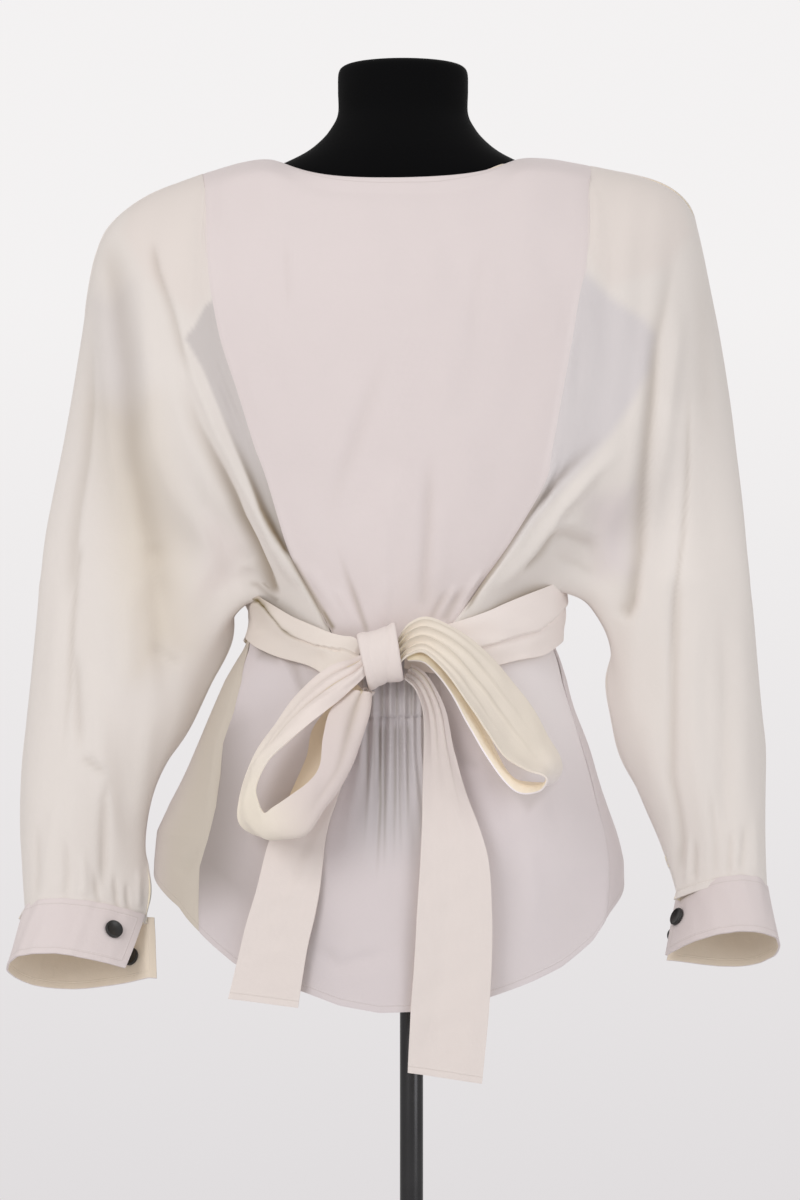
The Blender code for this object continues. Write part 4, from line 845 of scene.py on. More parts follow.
# long folds of the lower sleeves and gathers above the cuffs, as seen from the back
LOWER_BACK_FOLDS = [
    ([(-283, 1087), (-289, 1026), (-290, 1005), (-291, 961), (-296, 906)], 3.0, -2.8, 0.24, 0.1, 0.5),
    ([(-300, 1080), (-304, 1000), (-308, 930)], 8.0, 2.0),
    ([(-222, 1087), (-220, 1037), (-213, 980), (-206, 940)], 8.0, -3.4, 0.16, 0.1, 0.5),
    ([(-240, 1080), (-240, 1020), (-236, 950)], 8.0, 2.8),
    ([(-287, 999), (-282, 930), (-280, 907)], 4.0, -3.0, 0.2),
    ([(-280, 906), (-268, 897), (-256, 889)], 3.4, -2.6, 0.2),
    ([(-257, 886), (-260, 869), (-260, 805), (-263, 787)], 4.0, -3.2, 0.2),
    ([(-270, 990), (-262, 900), (-250, 830), (-248, 790)], 9.0, 2.8),
    ([(-225, 999), (-210, 991), (-193, 981)], 4.0, -2.2, 0.12),
    ([(-256, 1062), (-250, 1000), (-246, 940)], 9.0, 2.0),
    ([(-220, 950), (-226, 900), (-234, 840)], 8.0, 1.8),
    ([(-300, 880), (-306, 830), (-312, 785)], 6.0, 2.0),
    ([(-318, 850), (-316, 810), (-318, 776)], 3.6, -1.8, 0.1),
    ([(-292, 840), (-290, 806), (-293, 774)], 3.4, -2.2, 0.1),
    ([(-278, 830), (-276, 800), (-278, 774)], 3.4, 1.8),
    ([(-268, 812), (-266, 794), (-264, 772)], 2.6, -2.2, 0.2, 0.5, 0.05),
    ([(-252, 808), (-250, 790), (-249, 770)], 2.4, -2.4, 0.2, 0.5, 0.05),
    ([(-242, 800), (-241, 786), (-240, 769)], 2.4, -2.2, 0.2, 0.5, 0.05),
    ([(-232, 812), (-232, 792), (-232, 770)], 3.0, 1.6),
    ([(228, 1060), (225, 1035), (222, 980), (220, 924), (220, 887), (226, 856), (229, 832), (227, 800)],
     4.4, -3.0, 0.2, 0.1, 0.1),
    ([(246, 1050), (240, 980), (240, 900), (246, 830)], 9.0, 2.6),
    ([(262, 1040), (266, 960), (264, 880), (262, 806)], 7.0, -1.8, 0.05),
    ([(280, 1050), (284, 960), (284, 860)], 9.0, 2.2),
    ([(282, 850), (281, 832), (277, 800)], 3.4, -1.8, 0.12),
    ([(252, 880), (256, 840), (256, 796)], 3.4, -1.6, 0.1),
    ([(292, 860), (292, 830), (292, 800)], 4.0, 1.8),
    ([(270, 846), (268, 822), (268, 796)], 2.8, -1.8, 0.12),
    ([(240, 836), (240, 815), (240, 792)], 2.4, -1.8, 0.15),
    ([(234, 840), (234, 815), (233, 792)], 2.4, 1.6),
]
LOWER_FRONT_FOLDS = [
    ([(-287, 1072), (-290, 968), (-294, 797)], 7.0, -2.8),
    ([(-251, 1037), (-244, 917), (-242, 788)], 9.0, 2.8),
    ([(-270, 1040), (-268, 940), (-266, 800)], 6.0, -2.2),
    ([(-306, 1000), (-310, 900), (-316, 790)], 7.0, 2.0),
    ([(-226, 1010), (-222, 940), (-230, 860)], 7.0, -2.0),
    ([(-278, 840), (-278, 806), (-280, 776)], 3.2, -2.2),
    ([(-256, 836), (-254, 800), (-254, 774)], 3.0, -2.2),
    ([(-300, 836), (-302, 806), (-304, 776)], 3.2, -2.0),
    ([(240, 1054), (234, 934), (240, 797)], 7.0, -2.8),
    ([(274, 1037), (278, 917), (276, 797)], 9.0, 2.8),
    ([(256, 1020), (258, 920), (258, 810)], 6.0, -2.0),
    ([(216, 990), (222, 920), (230, 850)], 7.0, 2.0),
    ([(250, 850), (250, 820), (250, 796)], 3.0, -2.2),
    ([(284, 850), (284, 820), (286, 796)], 3.2, -2.0),
]
# where the single cloth lies on the form beside the panel seams, and where it lies on the pads
SINGLE_PATCHES = [
    [(-164, 1290), (-173, 1283), (-182, 1266), (-190, 1257), (-175, 1231), (-159, 1192), (-142, 1152),
     (-125, 1113), (-114, 1092), (-102, 1072), (-88, 1072), (-96, 1130), (-120, 1185), (-140, 1240),
     (-152, 1290)],
    [(146, 1311), (166, 1291), (196, 1272), (205, 1260), (200, 1232), (184, 1202), (166, 1175),
     (140, 1146), (112, 1118), (73, 1070), (56, 1076), (78, 1120), (100, 1160), (114, 1210),
     (124, 1260), (130, 1310)],
]
PAD_PATCHES = [
    [(-120, 1430), (-205, 1412), (-240, 1390), (-246, 1350), (-222, 1308), (-184, 1276), (-170, 1290),
     (-150, 1380)],
    [(110, 1430), (180, 1420), (226, 1400), (238, 1350), (216, 1318), (166, 1300), (150, 1320),
     (130, 1390)],
]
# painted shade and painted highlights on the back halves: corners x z, softness (mm), colour share
SLEEVE_SHADE_AND_HIGHLIGHTS = [
    ([(-270, 1290), (-240, 1300), (-228, 1190), (-240, 1150), (-262, 1200)], 40, (0.88, 0.88, 0.90)),
    ([(-262, 1200), (-222, 1200), (-196, 1080), (-190, 1000), (-230, 980), (-250, 1080)],
     60, (0.93, 0.90, 0.83)),
    ([(214, 1200), (236, 1200), (236, 1060), (218, 1060)], 40, (1.09, 1.09, 1.09)),
    ([(150, 1120), (186, 1130), (184, 1060), (160, 1060)], 30, (0.94, 0.92, 0.96)),
    ([(-170, 1110), (-140, 1090), (-150, 1050), (-180, 1040)], 30, (1.10, 1.09, 1.11)),
]


def sleeve_places(table, us, vs, back):
    """Surface of a sleeve: us from the back seam over the overarm seam to the front seam."""
    r = (vs * (len(table) - 1))[:, None]
    sx, sz, bx, bz, cx, cz, db, df, share, bulge, tube, mid = np.moveaxis(rows_at(table, vs)[:, None, :], 2,
                                                                          0)
    u, tube = us[None, :], np.clip(tube, 0, 1)
    a = np.sin(math.pi * np.minimum(u, 1 - u)) ** (1 + tube)
    x = (1 - a) ** 2 * bx + 2 * a * (1 - a) * cx + a * a * sx
    z = (1 - a) ** 2 * bz + 2 * a * (1 - a) * cz + a * a * sz
    depth = np.where(back, db, df)
    depth = np.where((r >= 10) & (r <= 12), np.maximum(waist_depth(bx, back), 0.2), depth)
    share = np.clip(share, 0.15, 1)
    k = np.minimum(a / share, 1)
    flat = 0.45 * ease((share - 0.6) / 0.4)
    body = depth * (flat * (1 - k) + (1 - flat) * np.sqrt(np.maximum(1 - k * k, 0)))
    q = 1 - 0.5 * tube * (1 - ease((r - (len(table) - 6)) / 5))
    top = (q / (q + 0.5)) ** q * np.sqrt(0.5 / (q + 0.5))
    y = body + bulge * a ** q * np.sqrt(np.maximum(1 - a, 0)) / top
    limit = np.maximum(pinch(x, z, back), 0.2)
    y = np.where(r < 13.6, smooth_low(y, limit, 1.0 * (1 - ease(r - 12.6))), y)
    y = np.where(tube > 0.9, np.maximum(y, 0.15), np.maximum(y, 0))
    y = np.where(np.abs(u - 0.5) < 1e-9, 0.12, y)
    y = mid + np.where(back, -y, y)
    lean = CUFF_LEAN * ease((r - (len(table) - 7)) / 5.5)
    return np.stack([x, y, z - lean * (y - mid)], axis=2), a, r, mid


def cuff_ends(side, v):
    """Outer fold x z and seam end x z of a cuff, at a share of its length."""
    top_s, top_b, low_s, low_b = CUFF_SHAPE[side][:4]
    return [top[k] + (low[k] - top[k]) * v for top, low in ((top_s, low_s), (top_b, low_b)) for k in (0, 1)]


def cuff_depth(side, a, v):
    """Half depth and middle y of a cuff, a from its seam end to its fold, v from its top down."""
    mid, depth = CUFF_SHAPE[side][4:]
    full = np.maximum(a, 0) * np.sqrt(np.maximum(1 - a, 0)) / CUFF_PEAK
    return (depth + CUFF_WIDENS * v) * full + CUFF_END * (1 - a), mid - CUFF_SWINGS * v


def cuff_tuck(side, a, back):
    """Last rows of a sleeve half, which end inside the top of the cuff."""
    rows = []
    for v, inset in ((0.02, 0.6), (0.06, 2.0), (0.12, 2.4)):
        sx, sz, bx, bz = cuff_ends(side, v)
        off, middle = cuff_depth(side, a, v)
        off = np.maximum(off - inset, 0.3)
        y = middle + (-off if back else off)
        x = bx + (sx - bx) * a * (1 - inset / (sx - bx))
        rows.append(np.stack([x, y, bz + (sz - bz) * a - CUFF_LEAN * (y - middle)], axis=1))
    return np.array(rows)


def sleeve_of(name, table, side, half):
    """Half of a sleeve, from the neck down into the cuff."""
    behind = half == "back"
    columns, rows, rounds = SLEEVE_GRID[half]
    us, vs = (fine_steps(columns, 0.45) * 0.5 + (0 if behind else 0.5))[::-side], np.linspace(0, 1, rows)
    back = np.full((len(vs), len(us)), behind)
    places, a, r, middle = sleeve_places(table, us, vs, back)
    reach = np.minimum(np.minimum(us, 1 - us) / 0.1, np.abs(us - 0.5) / 0.04)
    places = soften(relax_along(places, rounds, ease(reach) * ease((r - 2.5) / 3)), 24)
    x, z = places[..., 0], places[..., 2]
    upper, dark = fold_height(SLEEVE_BACK_FOLDS if behind else SLEEVE_FRONT_FOLDS, x, z)
    lower, low_dark = fold_height(LOWER_BACK_FOLDS if behind else LOWER_FRONT_FOLDS, x, z)
    dark = np.pad(np.maximum(dark, low_dark), ((0, 3), (0, 0)), "edge")
    heights = upper + lower + 0.8 * unrest(x * 1.1, z * 0.4, 11 + side, 26, 95)
    held = 1 - ease((r - 11.2) / 2.4)
    free = (1 - 0.85 * held * (1 - near_waist(places, back))) * (1 - a ** 6)
    free = free * (1 - held * (1 - ease(np.minimum(us, 1 - us) / 0.03)))
    free = free * (0.25 + 0.75 * ease((len(table) - 1 - r) / 0.4))
    places = raised(places, heights * free)
    away = 1.4 * ease(reach * 2)
    y = places[..., 1]
    places[..., 1] = np.minimum(y, middle - away) if behind else np.maximum(y, middle + away)
    places = seam_roll(np.concatenate([places, cuff_tuck(side, a[-1], behind)]), 0.3, 2.0, 0.3)
    x, z = places[..., 0], places[..., 2]
    # painted shade in the folds, then the cloth's show-through over the pads and the form, and painted shade
    # and highlights
    tone = blended(SINGLE, FOLD_SHADE, dark)
    for corners in PAD_PATCHES:
        tone = tinted(tone, OVER_PAD, patch_share(corners, x, z, 14))
    for corners in SINGLE_PATCHES if behind else ():
        share = patch_share(corners, x, z, 4 if side < 0 else 12)
        tone = tinted(tone, OVER_FORM[side], share)
        # painted shade that deepens down the left patch
        if side < 0:
            tone = tinted(tone, FOLD_SHADE, share * 0.5 * ease((1180 - z) / 100))
    for corners, soft, tint in SLEEVE_SHADE_AND_HIGHLIGHTS if behind else ():
        tone = tinted(tone, tint, patch_share(corners, x, z, soft))
    return sheet_of(name, places, tone, np.full(x.shape, NO_HEM))


for word, table, side in (("left", SLEEVE_LEFT, -1), ("right", SLEEVE_RIGHT, 1)):
    for half in ("back", "front"):
        name = f"sleeve_{word}_{half}"
        sleeve = show(sleeve_of(name, table, side, half), name)


# Cuffs and buttons
# Narrow doubled bands with a stitched edge, closed by flat black buttons with a rim.
CUFF_UNDER = {-1: (0.14, -0.06, 0.0), 1: (0.02, 0.05, 14.0)}
CUFF_BUTTONS = {-1: ((0.10, 0.42), (0.909, 0.6)), 1: ((0.045, 0.42), (0.97, 0.6))}
CUFF_WALL, CUFF_TONE = 1.8, {-1: 1.0, 1: 0.95}
CUFF_GRID = 161, 26
BUTTON_T, BUTTON_GAP, BUTTON_STEPS = 3.0, 0.4, 64
BUTTON_PROFILE = [
    (0, -1.5), (7.1, -1.5), (7.75, -0.9), (7.75, 0.9), (7.2, 1.5), (6.4, 1.5), (5.8, 1.05), (0, 0.95),
]


def cuff_places(side, u, v):
    """Cuff strip: u from the outer end over the near side, the fold and the far side."""
    u, v = np.broadcast_arrays(np.asarray(u, float), np.asarray(v, float))
    sx, sz, bx, bz = cuff_ends(side, v)
    near = u <= 0.5
    start = np.where(near, 0.01 + CUFF_UNDER[side][0] * v, CUFF_UNDER[side][1])
    a = start + (1 - start) * np.abs(np.sin(math.pi * u)) ** 1.4
    off, middle = cuff_depth(side, a, v)
    y = middle + np.where(near, -off, off) + CUFF_UNDER[side][2] * np.maximum(1 - a, 0) ** 5
    y = np.where(np.abs(u - 0.5) < 1e-6, middle, y)
    return np.stack([bx + (sx - bx) * a, y, bz + (sz - bz) * a - CUFF_LEAN * (y - middle)], axis=-1)


def cuff_of(name, side):
    us, vs = np.linspace(0, 1, CUFF_GRID[0])[::-side], np.linspace(0, 1, CUFF_GRID[1])
    places = cuff_places(side, us[None, :], vs[:, None])
    run = lengths(places, 1)
    ripple = unrest(run * 1.4, places[..., 2] * 0.5, 21 + side, 14, 60) * 0.45
    ripple += 0.5 * np.sin(run / 3.1) * (1 - vs[:, None]) ** 2
    places = raised(places, ripple * np.sin(math.pi * np.clip(us, 0, 1))[None, :] ** 0.5)
    down = lengths(places, 0)
    edge = np.minimum(down - down[:1], down[-1:] - down)
    edge = np.minimum(edge, np.minimum(run - run[:, :1], run[:, -1:] - run))
    return sheet_of(name, places, np.full(places.shape, CUFF_TONE[side]), edge, CUFF_WALL)


def button_look():
    """Black horn: smooth, with faint cloudy streaks."""
    look = Look("black_button", {"Coat Weight": 0.15})
    cloudy = speckle(look, place_of(look, (1.0, 1.0, 3.0)), 160.0, 4.0)
    look.feed(
        Base_Color=mixed(look, cloudy, (0.006, 0.006, 0.007, 1), (0.02, 0.019, 0.019, 1)),
        Roughness=0.34 + cloudy * 0.14,
    )
    return look.material


def button_of(name, material, centre, facing):
    bm = spun(BUTTON_PROFILE, BUTTON_STEPS, 1e-4)
    turn = Vector(facing).to_track_quat("Z", "Y").to_matrix().to_4x4()
    bmesh.ops.transform(bm, matrix=Matrix.Translation(Vector(centre) * MM) @ turn @ Matrix.Scale(MM, 4),
                        verts=bm.verts[:])
    return object_of(name, mesh_of(name, bm), material)


horn = button_look()
for side, word in ((-1, "left"), (1, "right")):
    cuff = show(cuff_of(f"cuff_{word}", side), f"cuff_{word}")
    for k, (u, v) in enumerate(CUFF_BUTTONS[side]):
        du = cuff_places(side, u + 0.01, v) - cuff_places(side, u - 0.01, v)
        dv = cuff_places(side, u, v + 0.05) - cuff_places(side, u, v - 0.05)
        out = np.cross(du, dv) * -side
        out /= np.linalg.norm(out)
        shift = BUTTON_T / 2 + BUTTON_GAP if u < 0.5 else -(CUFF_WALL + BUTTON_T / 2 + BUTTON_GAP)
        facing = out if u < 0.5 else -out
        name = f"cuff_{word}_button_{k + 1}"
        show(button_of(name, horn, cuff_places(side, u, v) + out * shift, facing), name)


# Skirt of the blouse below the sash, back and front
# The same crepe, single here, so the dark inside shows through. The back is drawn up
# in a shirred channel under the knot, and falls from it in narrow pleats to a curved hem.
# skirt rows: height, middle x, half width, depth back front (mm), side seam angles left right
SKIRT = [
    (1037.3, -3.9, 123, 87, 94, -87.4, 87.4),
    (1011.5, -9.9, 127.3, 89, 96, -87.4, 87.4),
    (994.3, -10.3, 133.7, 93, 98, -76.4, 87.4),
    (968.5, -12.9, 146.6, 98, 101, -63.8, 76.3),
    (942.7, -15.5, 156.1, 102, 104, -59.6, 75.9),
    (916.9, -17.6, 166, 107, 107, -58.4, 75.5),
    (891.1, -19.8, 175.9, 112, 110, -53, 75.1),
    (865.3, -21.9, 186.6, 117, 113, -49.3, 72.6),
    (839.5, -23.2, 195.6, 121, 116, -48.3, 71.5),
    (813.7, -21.1, 200.4, 125, 118, -50.8, 68.8),
    (779.3, -20.2, 203, 129, 120, -50.6, 66.1),
    (736.3, -21.9, 208.1, 133, 123, -48.3, 61.9),
    (676.1, -21.1, 210.7, 137, 126, -48.2, 58.1),
]
# hem: angle round the body, height (mm)
HEM = [
    (-82, 802.2), (-58.8, 779.5), (-46.7, 755), (-37, 735.9), (-27.1, 722.5), (-18.7, 714.4),
    (-10.4, 704.5), (-1.4, 699), (5.3, 699.8), (14.4, 704.2), (24.5, 710.6), (34.7, 720.7), (45.6, 732),
    (58.3, 751.2), (67.1, 772.9), (83.1, 793.5),
]
# waist seam: angle round the body, height (mm)
WAIST = [
    (-180, 992), (-150, 996), (-120, 1014), (-90, 1036), (-60, 1014), (-30, 996), (0, 992),
    (30, 993), (60, 1011), (90, 1044), (120, 1011), (150, 993), (180, 992),
]
SKIRT_RISING = sorted(SKIRT)
# gathers under the knot: x at the waist (mm), height, half width of each pleat (mm)
PLEATS = [
    (-41, 3.2, 3.4), (-31.5, 3.6, 3.0), (-24.6, 2.6, 1.5), (-18, 4.2, 2.6), (-12, 2.4, 1.4),
    (-6.4, 3.8, 2.0), (0.6, 3.2, 2.2), (7, 3.0, 1.8), (13, 2.4, 2.6),
]
PLEAT_MIDDLE = -14
CHANNEL_TOP, CHANNEL_LOW = 964, 940
# folds of the back: points x z, half widths, height (mm), and where given the painted shade in the fold and
# the shares over which it fades
SKIRT_FOLDS = [
    ([(-84, 757), (-62, 736), (-40, 742), (-14, 748)], 7.0, -2.4),
    ([(-70, 900), (-82, 840), (-90, 790)], 10.0, 1.6),
    ([(50, 930), (66, 860), (76, 790)], 12.0, 1.8),
    ([(30, 900), (40, 830), (44, 760)], 10.0, -1.6),
    ([(96, 950), (118, 880), (130, 830)], 10.0, -1.8),
    ([(-112, 960), (-124, 900), (-136, 850)], 8.0, -1.6),
    ([(84, 960), (96, 930), (112, 900)], 6.0, 1.6),
    ([(-60, 990), (-72, 960), (-96, 930)], 6.0, 1.6),
    ([(-114, 1002), (-100, 985), (-93, 962), (-84, 972)], (3.0, 5.0), -1.6, 0.22, 0.2, 0.2),
    ([(-36.5, 936), (-36.5, 880), (-40, 830)], 1.5, -0.6, 0.42, 0.08, 0.8),
    ([(-31, 936), (-31, 900), (-32, 860)], 1.2, -0.4, 0.25, 0.08, 0.8),
    ([(-26.5, 936), (-26, 870), (-29, 806)], 1.5, -0.8, 0.60, 0.08, 0.6),
    ([(-22.4, 936), (-22.4, 870), (-23, 812)], 1.3, -0.6, 0.50, 0.08, 0.6),
    ([(-14, 936), (-14, 880), (-15, 820)], 1.4, -0.6, 0.46, 0.08, 0.7),
    ([(-9.9, 936), (-9.9, 880), (-9, 826)], 1.2, -0.6, 0.40, 0.08, 0.7),
    ([(-3.3, 936), (-3.3, 880), (-3, 836)], 1.5, -0.8, 0.42, 0.08, 0.7),
    ([(96, 838), (100, 800), (104, 770)], 9.0, 1.4),
]
# painted shade and cast shadows on the back: corners x z, softness (mm), depth
SKIRT_SHADES = [
    ([(-210, 930), (-150, 930), (-142, 880), (-146, 800), (-210, 780)], 56, 0.8),
    ([(-200, 960), (-128, 940), (-112, 860), (-116, 770), (-200, 760)], 70, 0.25),
    ([(-129, 1012), (-113, 1004), (-114, 988), (-129, 990)], 14, 0.75),
    ([(-117, 1000), (-93, 961), (-85, 971), (-60, 992), (-68, 1008)], 2.5, 0.14),
    ([(78, 886), (97, 862), (121, 886)], 9, 0.28),
    ([(20, 960), (30, 940), (52, 900), (40, 900), (24, 930)], 14, 0.3),
]
COOL_SHADE = (0.50, 0.475, 0.435)
HEM_SIDE = {-1: 803.6, 1: 796.0}    # height of the hem at the side seams (mm)
HEM_FRONT = 812.0       # and in the middle of the front
# columns of the back left of the pleats, in them and right of them, where they start and end, and its rows
PLEAT_COLUMNS, PLEAT_START, PLEAT_END, BACK_ROWS = (44, 110, 50), 0.36, 0.58, 136
FRONT_GRID = 156, 86
MEET_ROUNDS = 14        # rounds in which heights and seam angles settle
SIDE_FOLDS = [
    ([(-176, 830), (-186, 818), (-200, 806)], 4.0, -2.6),
    ([(-140, 960), (-152, 900), (-170, 850)], 8.0, 1.8),
]


def skirt_size(z):
    """Middle x, half width, depth to the back and to the front at heights (mm)."""
    return [looked_up(SKIRT_RISING, z, column) for column in (1, 2, 3, 4)]


def hem_height(phi):
    folded = np.copysign(180 - np.abs(phi), phi)
    side = np.where(folded < 0, HEM_SIDE[-1], HEM_SIDE[1])
    front = side + (HEM_FRONT - side) * (1 - np.abs(folded) / 90)
    return np.where(np.abs(phi) > 90, front, looked_up(HEM, phi))


def skirt_grid(us, vs, back):
    """Places and heights of a skirt panel between its side seams, flared but without gathers."""
    u, v = us[None, :], vs[:, None]
    z = np.full((len(vs), len(us)), 900.0)
    for _ in range(MEET_ROUNDS):
        left, right = (looked_up(SKIRT_RISING, z, column) for column in (5, 6))
        if back:
            phi = left + (right - left) * u
        else:
            phi = left - u * (360 - (right - left))
            phi = np.where(phi < -180, phi + 360, phi)
        top = looked_up(WAIST, phi) - 0.5 + 3.5 * np.exp(-((phi + 22) / 12) ** 2)
        z = top + (hem_height(phi) - top) * v
    middle, half, behind, before = skirt_size(z)
    turn = np.radians(phi)
    depth = np.where(np.abs(phi) <= 90, behind, before)
    places = np.stack([middle + half * np.sin(turn), -depth * np.cos(turn), z], axis=-1)
    flare = 3.0 * np.sin(5 * turn + 0.7) + 1.5 * np.sin(9 * turn + 2.0)
    return raised(places, ease(v) * flare), z


def skirt_back():
    ends = (0, PLEAT_START, PLEAT_END, 1)
    runs = [np.linspace(*span) for span in zip(ends, ends[1:], PLEAT_COLUMNS)]
    us = np.concatenate([runs[0][:-1], runs[1][:-1], runs[2]])[::-1]
    places, z = skirt_grid(us, np.linspace(0, 1, BACK_ROWS), True)
    x = places[..., 0]
    fade = ease((z - 806) / 120)
    spread = 1 + 0.55 * (1 - fade)
    heights = -0.8 * fade
    for place, height, half in PLEATS:
        here = PLEAT_MIDDLE + (place - PLEAT_MIDDLE) * spread
        heights = heights + height * fade * np.exp(-((x - here) / (half * (1 + 1.2 * (1 - fade)))) ** 2)
    band = ease((z - CHANNEL_LOW + 1) / 3) * ease((CHANNEL_TOP + 22 - z) / 12)
    band = band * np.exp(-((x + 12) / 33) ** 6)
    arch = np.abs(np.sin((x + 36.5) * math.pi / 12.0)) ** 0.7
    heights += band * (1.9 * arch - 0.4)
    groove = np.exp(-((z - CHANNEL_LOW) / 1.3) ** 2) * np.exp(-((x + 12) / 34) ** 6)
    folds, dark = fold_height(SKIRT_FOLDS, x, z)
    heights += -2.0 * groove + folds * ease((z - 712) / 20)
    heights += 0.8 * unrest(x, z * 0.5, 41, 28, 110) * ease((z - 700) / 50)
    places = raised(places, heights)
    x = places[..., 0]
    places = seam_roll(places, 0.6, 1.8, 0.3)
    # painted light and shade: the back darker on the left and lighter on the right, painted shade under the
    # knot and low on the left, and a painted lighter area up on the right
    tone = blended((0.92, 0.93, 0.95), (1.0, 1.02, 1.04), ease((x - 30) / 60))
    under_knot_shade = np.exp(-((x + 10) / 40) ** 4) * ease((z - 800) / 60)
    low_left_shade = np.exp(-(((x + 94) / 26) ** 2) - ((z - 760) / 50) ** 2)
    tone = tinted(tone, (0.875, 0.90, 0.905), under_knot_shade)
    tone = tinted(tone, (1.10, 1.12, 1.11), ease((x - 50) / 50) * ease((z - 860) / 90))
    tone = tinted(tone, (0.86, 0.87, 0.88), low_left_shade)
    for corners, soft, shade in SKIRT_SHADES:
        tone = tinted(tone, COOL_SHADE, patch_share(corners, x, z, soft) * shade)
    # painted shade in the folds and between the arches of the channel
    tone = tinted(tone, FOLD_SHADE, np.maximum(dark, band * 0.6 * (1 - arch) ** 2))
    down = lengths(places, 0)
    return sheet_of("skirt_back", places, tone, down[-1:] - down)


def skirt_front():
    us, vs = (np.linspace(0, 1, count) for count in FRONT_GRID)
    places, z = skirt_grid(us, vs, False)
    x = places[..., 0]
    heights = 1.6 * unrest(x, z * 0.4, 47, 34, 120) * ease(vs / 0.2)[:, None]
    heights += np.where(places[..., 1] < 40, fold_height(SIDE_FOLDS, x, z)[0], 0)
    places = raised(places, heights * ease(np.minimum(us, 1 - us) / 0.02)[None, :])
    places = seam_roll(places, 0.6, 1.8, 0.3)
    run, down = lengths(places, 1), lengths(places, 0)
    # painted shade on the front's side next to the left seam, where it turns away from the light
    tone = blended((0.80, 0.80, 0.70), (0.92, 0.93, 0.94), ease((run - run[:, :1] - 30) / 90))
    return sheet_of("skirt_front", places, tone, down[-1:] - down)


piece = show(skirt_back(), "back_lower")
piece = show(skirt_front(), "front_lower")


# Sash round the waist
# A doubled strip of the crepe, drawn tight over the gathered cloth, with one long crease.
SASH_WALL, SASH_GRID = 1.4, (320, 31)
BRIGHT = (1.04, 1.05, 1.01)
# colour shares along the loops, from the knot out and back to it, with painted light and shade in them
RIGHT_LOOP_PAINTED_LIGHT = [
    (1.10, 1.11, 0.98), (1.10, 1.11, 0.98), (1.10, 1.11, 0.98), (1.12, 1.13, 1.0), (1.1, 1.12, 1.1),
    (1.36, 1.42, 1.48), (1.32, 1.38, 1.44), (1.10, 1.12, 1.06),
]
LEFT_LOOP_PAINTED_LIGHT = [
    (1.08, 1.07, 1.02), (1.10, 1.09, 1.04), (1.16, 1.17, 1.08), (1.20, 1.22, 1.06), (1.12, 1.13, 1.0),
    (0.98, 0.96, 0.92), (0.97, 0.95, 0.92), (1.0, 0.98, 0.92),
]
# crease of the sash where it folds on itself: angle, share of its width
SASH_CREASE = [
    (-358, 0.4), (-350, 0.5), (-336, 0.62), (-306, 0.62), (-290, 0.5), (-270, 0.4), (-180, 0.5),
    (-90, 0.4), (-76, 0.2), (-68, 0.08), (-62, 0.12), (-55.7, 0.25), (-49.3, 0.38), (-42, 0.42),
    (-31, 0.42), (-20, 0.3),
]


def sash_places(us, vs):
    phi, top, bottom, lift = np.moveaxis(rows_at(SASH, us)[None, :, :], 2, 0)
    v = vs[:, None]
    bottom = bottom - 5 * np.exp(-((phi + 15) / 7) ** 2)
    z = top + (bottom - top) * v
    turn = np.radians(phi)
    low = np.minimum(z, 1037)
    middle, half, back, front = skirt_size(low)
    middle = WAIST_X + (middle - WAIST_X) * ease((1020 - z) / 30)
    half = np.maximum(half, WAIST_HALF)
    depth = np.where(np.cos(turn) > 0, np.maximum(back, WAIST_BACK), np.maximum(front, WAIST_FRONT))
    off = 4.8 + 1.6 * np.sin(math.pi * v) + np.sin(turn) ** 4 * (5.9 - 2.9 * v)
    off = off + 3.0 * ease(-3 * np.cos(turn)) + np.maximum(lift, 0)
    ruck = np.where((phi > -80) & (phi < -19), 2.5 * np.sin(2 * math.pi * v) * ease((phi + 80) / 20), 0)
    off = off + ruck * ease((-20 - phi) / 8)
    x, y = middle + (half + off) * np.sin(turn), -(depth + off) * np.cos(turn)
    return np.stack([x, y, z + 0 * turn], axis=2), phi


def sash_piece():
    us, vs = (np.linspace(0, 1, count) for count in SASH_GRID)
    places, phi = sash_places(us, vs)
    v, at = vs[:, None], looked_up(SASH_CREASE, phi)
    over = np.where(v < at, (v / at) ** 1.5 * 2.0 + 0.2, 0)
    heights = over - 1.4 * np.exp(-((v - at - 0.02) / 0.03) ** 2)
    heights = heights * ease(v / 0.12) * ease((1 - v) / 0.12)
    heights = heights + 0.45 * unrest(lengths(places, 1) * 0.5, places[..., 2] * 1.6, 61, 14, 50)
    places = raised(places, heights * ease(np.minimum(us, 1 - us) / 0.02)[None, :])
    down = lengths(places, 0)
    edge = np.minimum(down - down[:1], down[-1:] - down) + NO_HEM
    # painted shade along the crease, and at the top on the left where the sleeve hangs over the sash
    gap = v - at - 0.02
    shade = 1.2 * np.exp(-(gap / np.where(gap > 0, 0.03, 0.06)) ** 2)
    shade = shade * ease((phi + 78) / 10) * ease((-36 - phi) / 16)
    shade += 0.4 * np.exp(-(v / 0.4) ** 2) * ease((phi + 96) / 20) * ease((-52 - phi) / 14)
    tone = tinted(1.0, FOLD_SHADE, shade) * BRIGHT
    # painted light and shade: darker on the left, lighter on the right, and a painted lighter band left of
    # the knot
    x = places[..., 0]
    tone = tone * blended((0.96, 0.955, 0.92), (1.10, 1.10, 1.10), ease((x + 20) / 60))
    tone = tinted(tone, (1.14, 1.15, 1.15), np.exp(-((x + 62) / 22) ** 2) * (phi > -90))
    return sheet_of("sash", places, tone, edge, SASH_WALL)


sash = show(sash_piece(), "waist_sash")
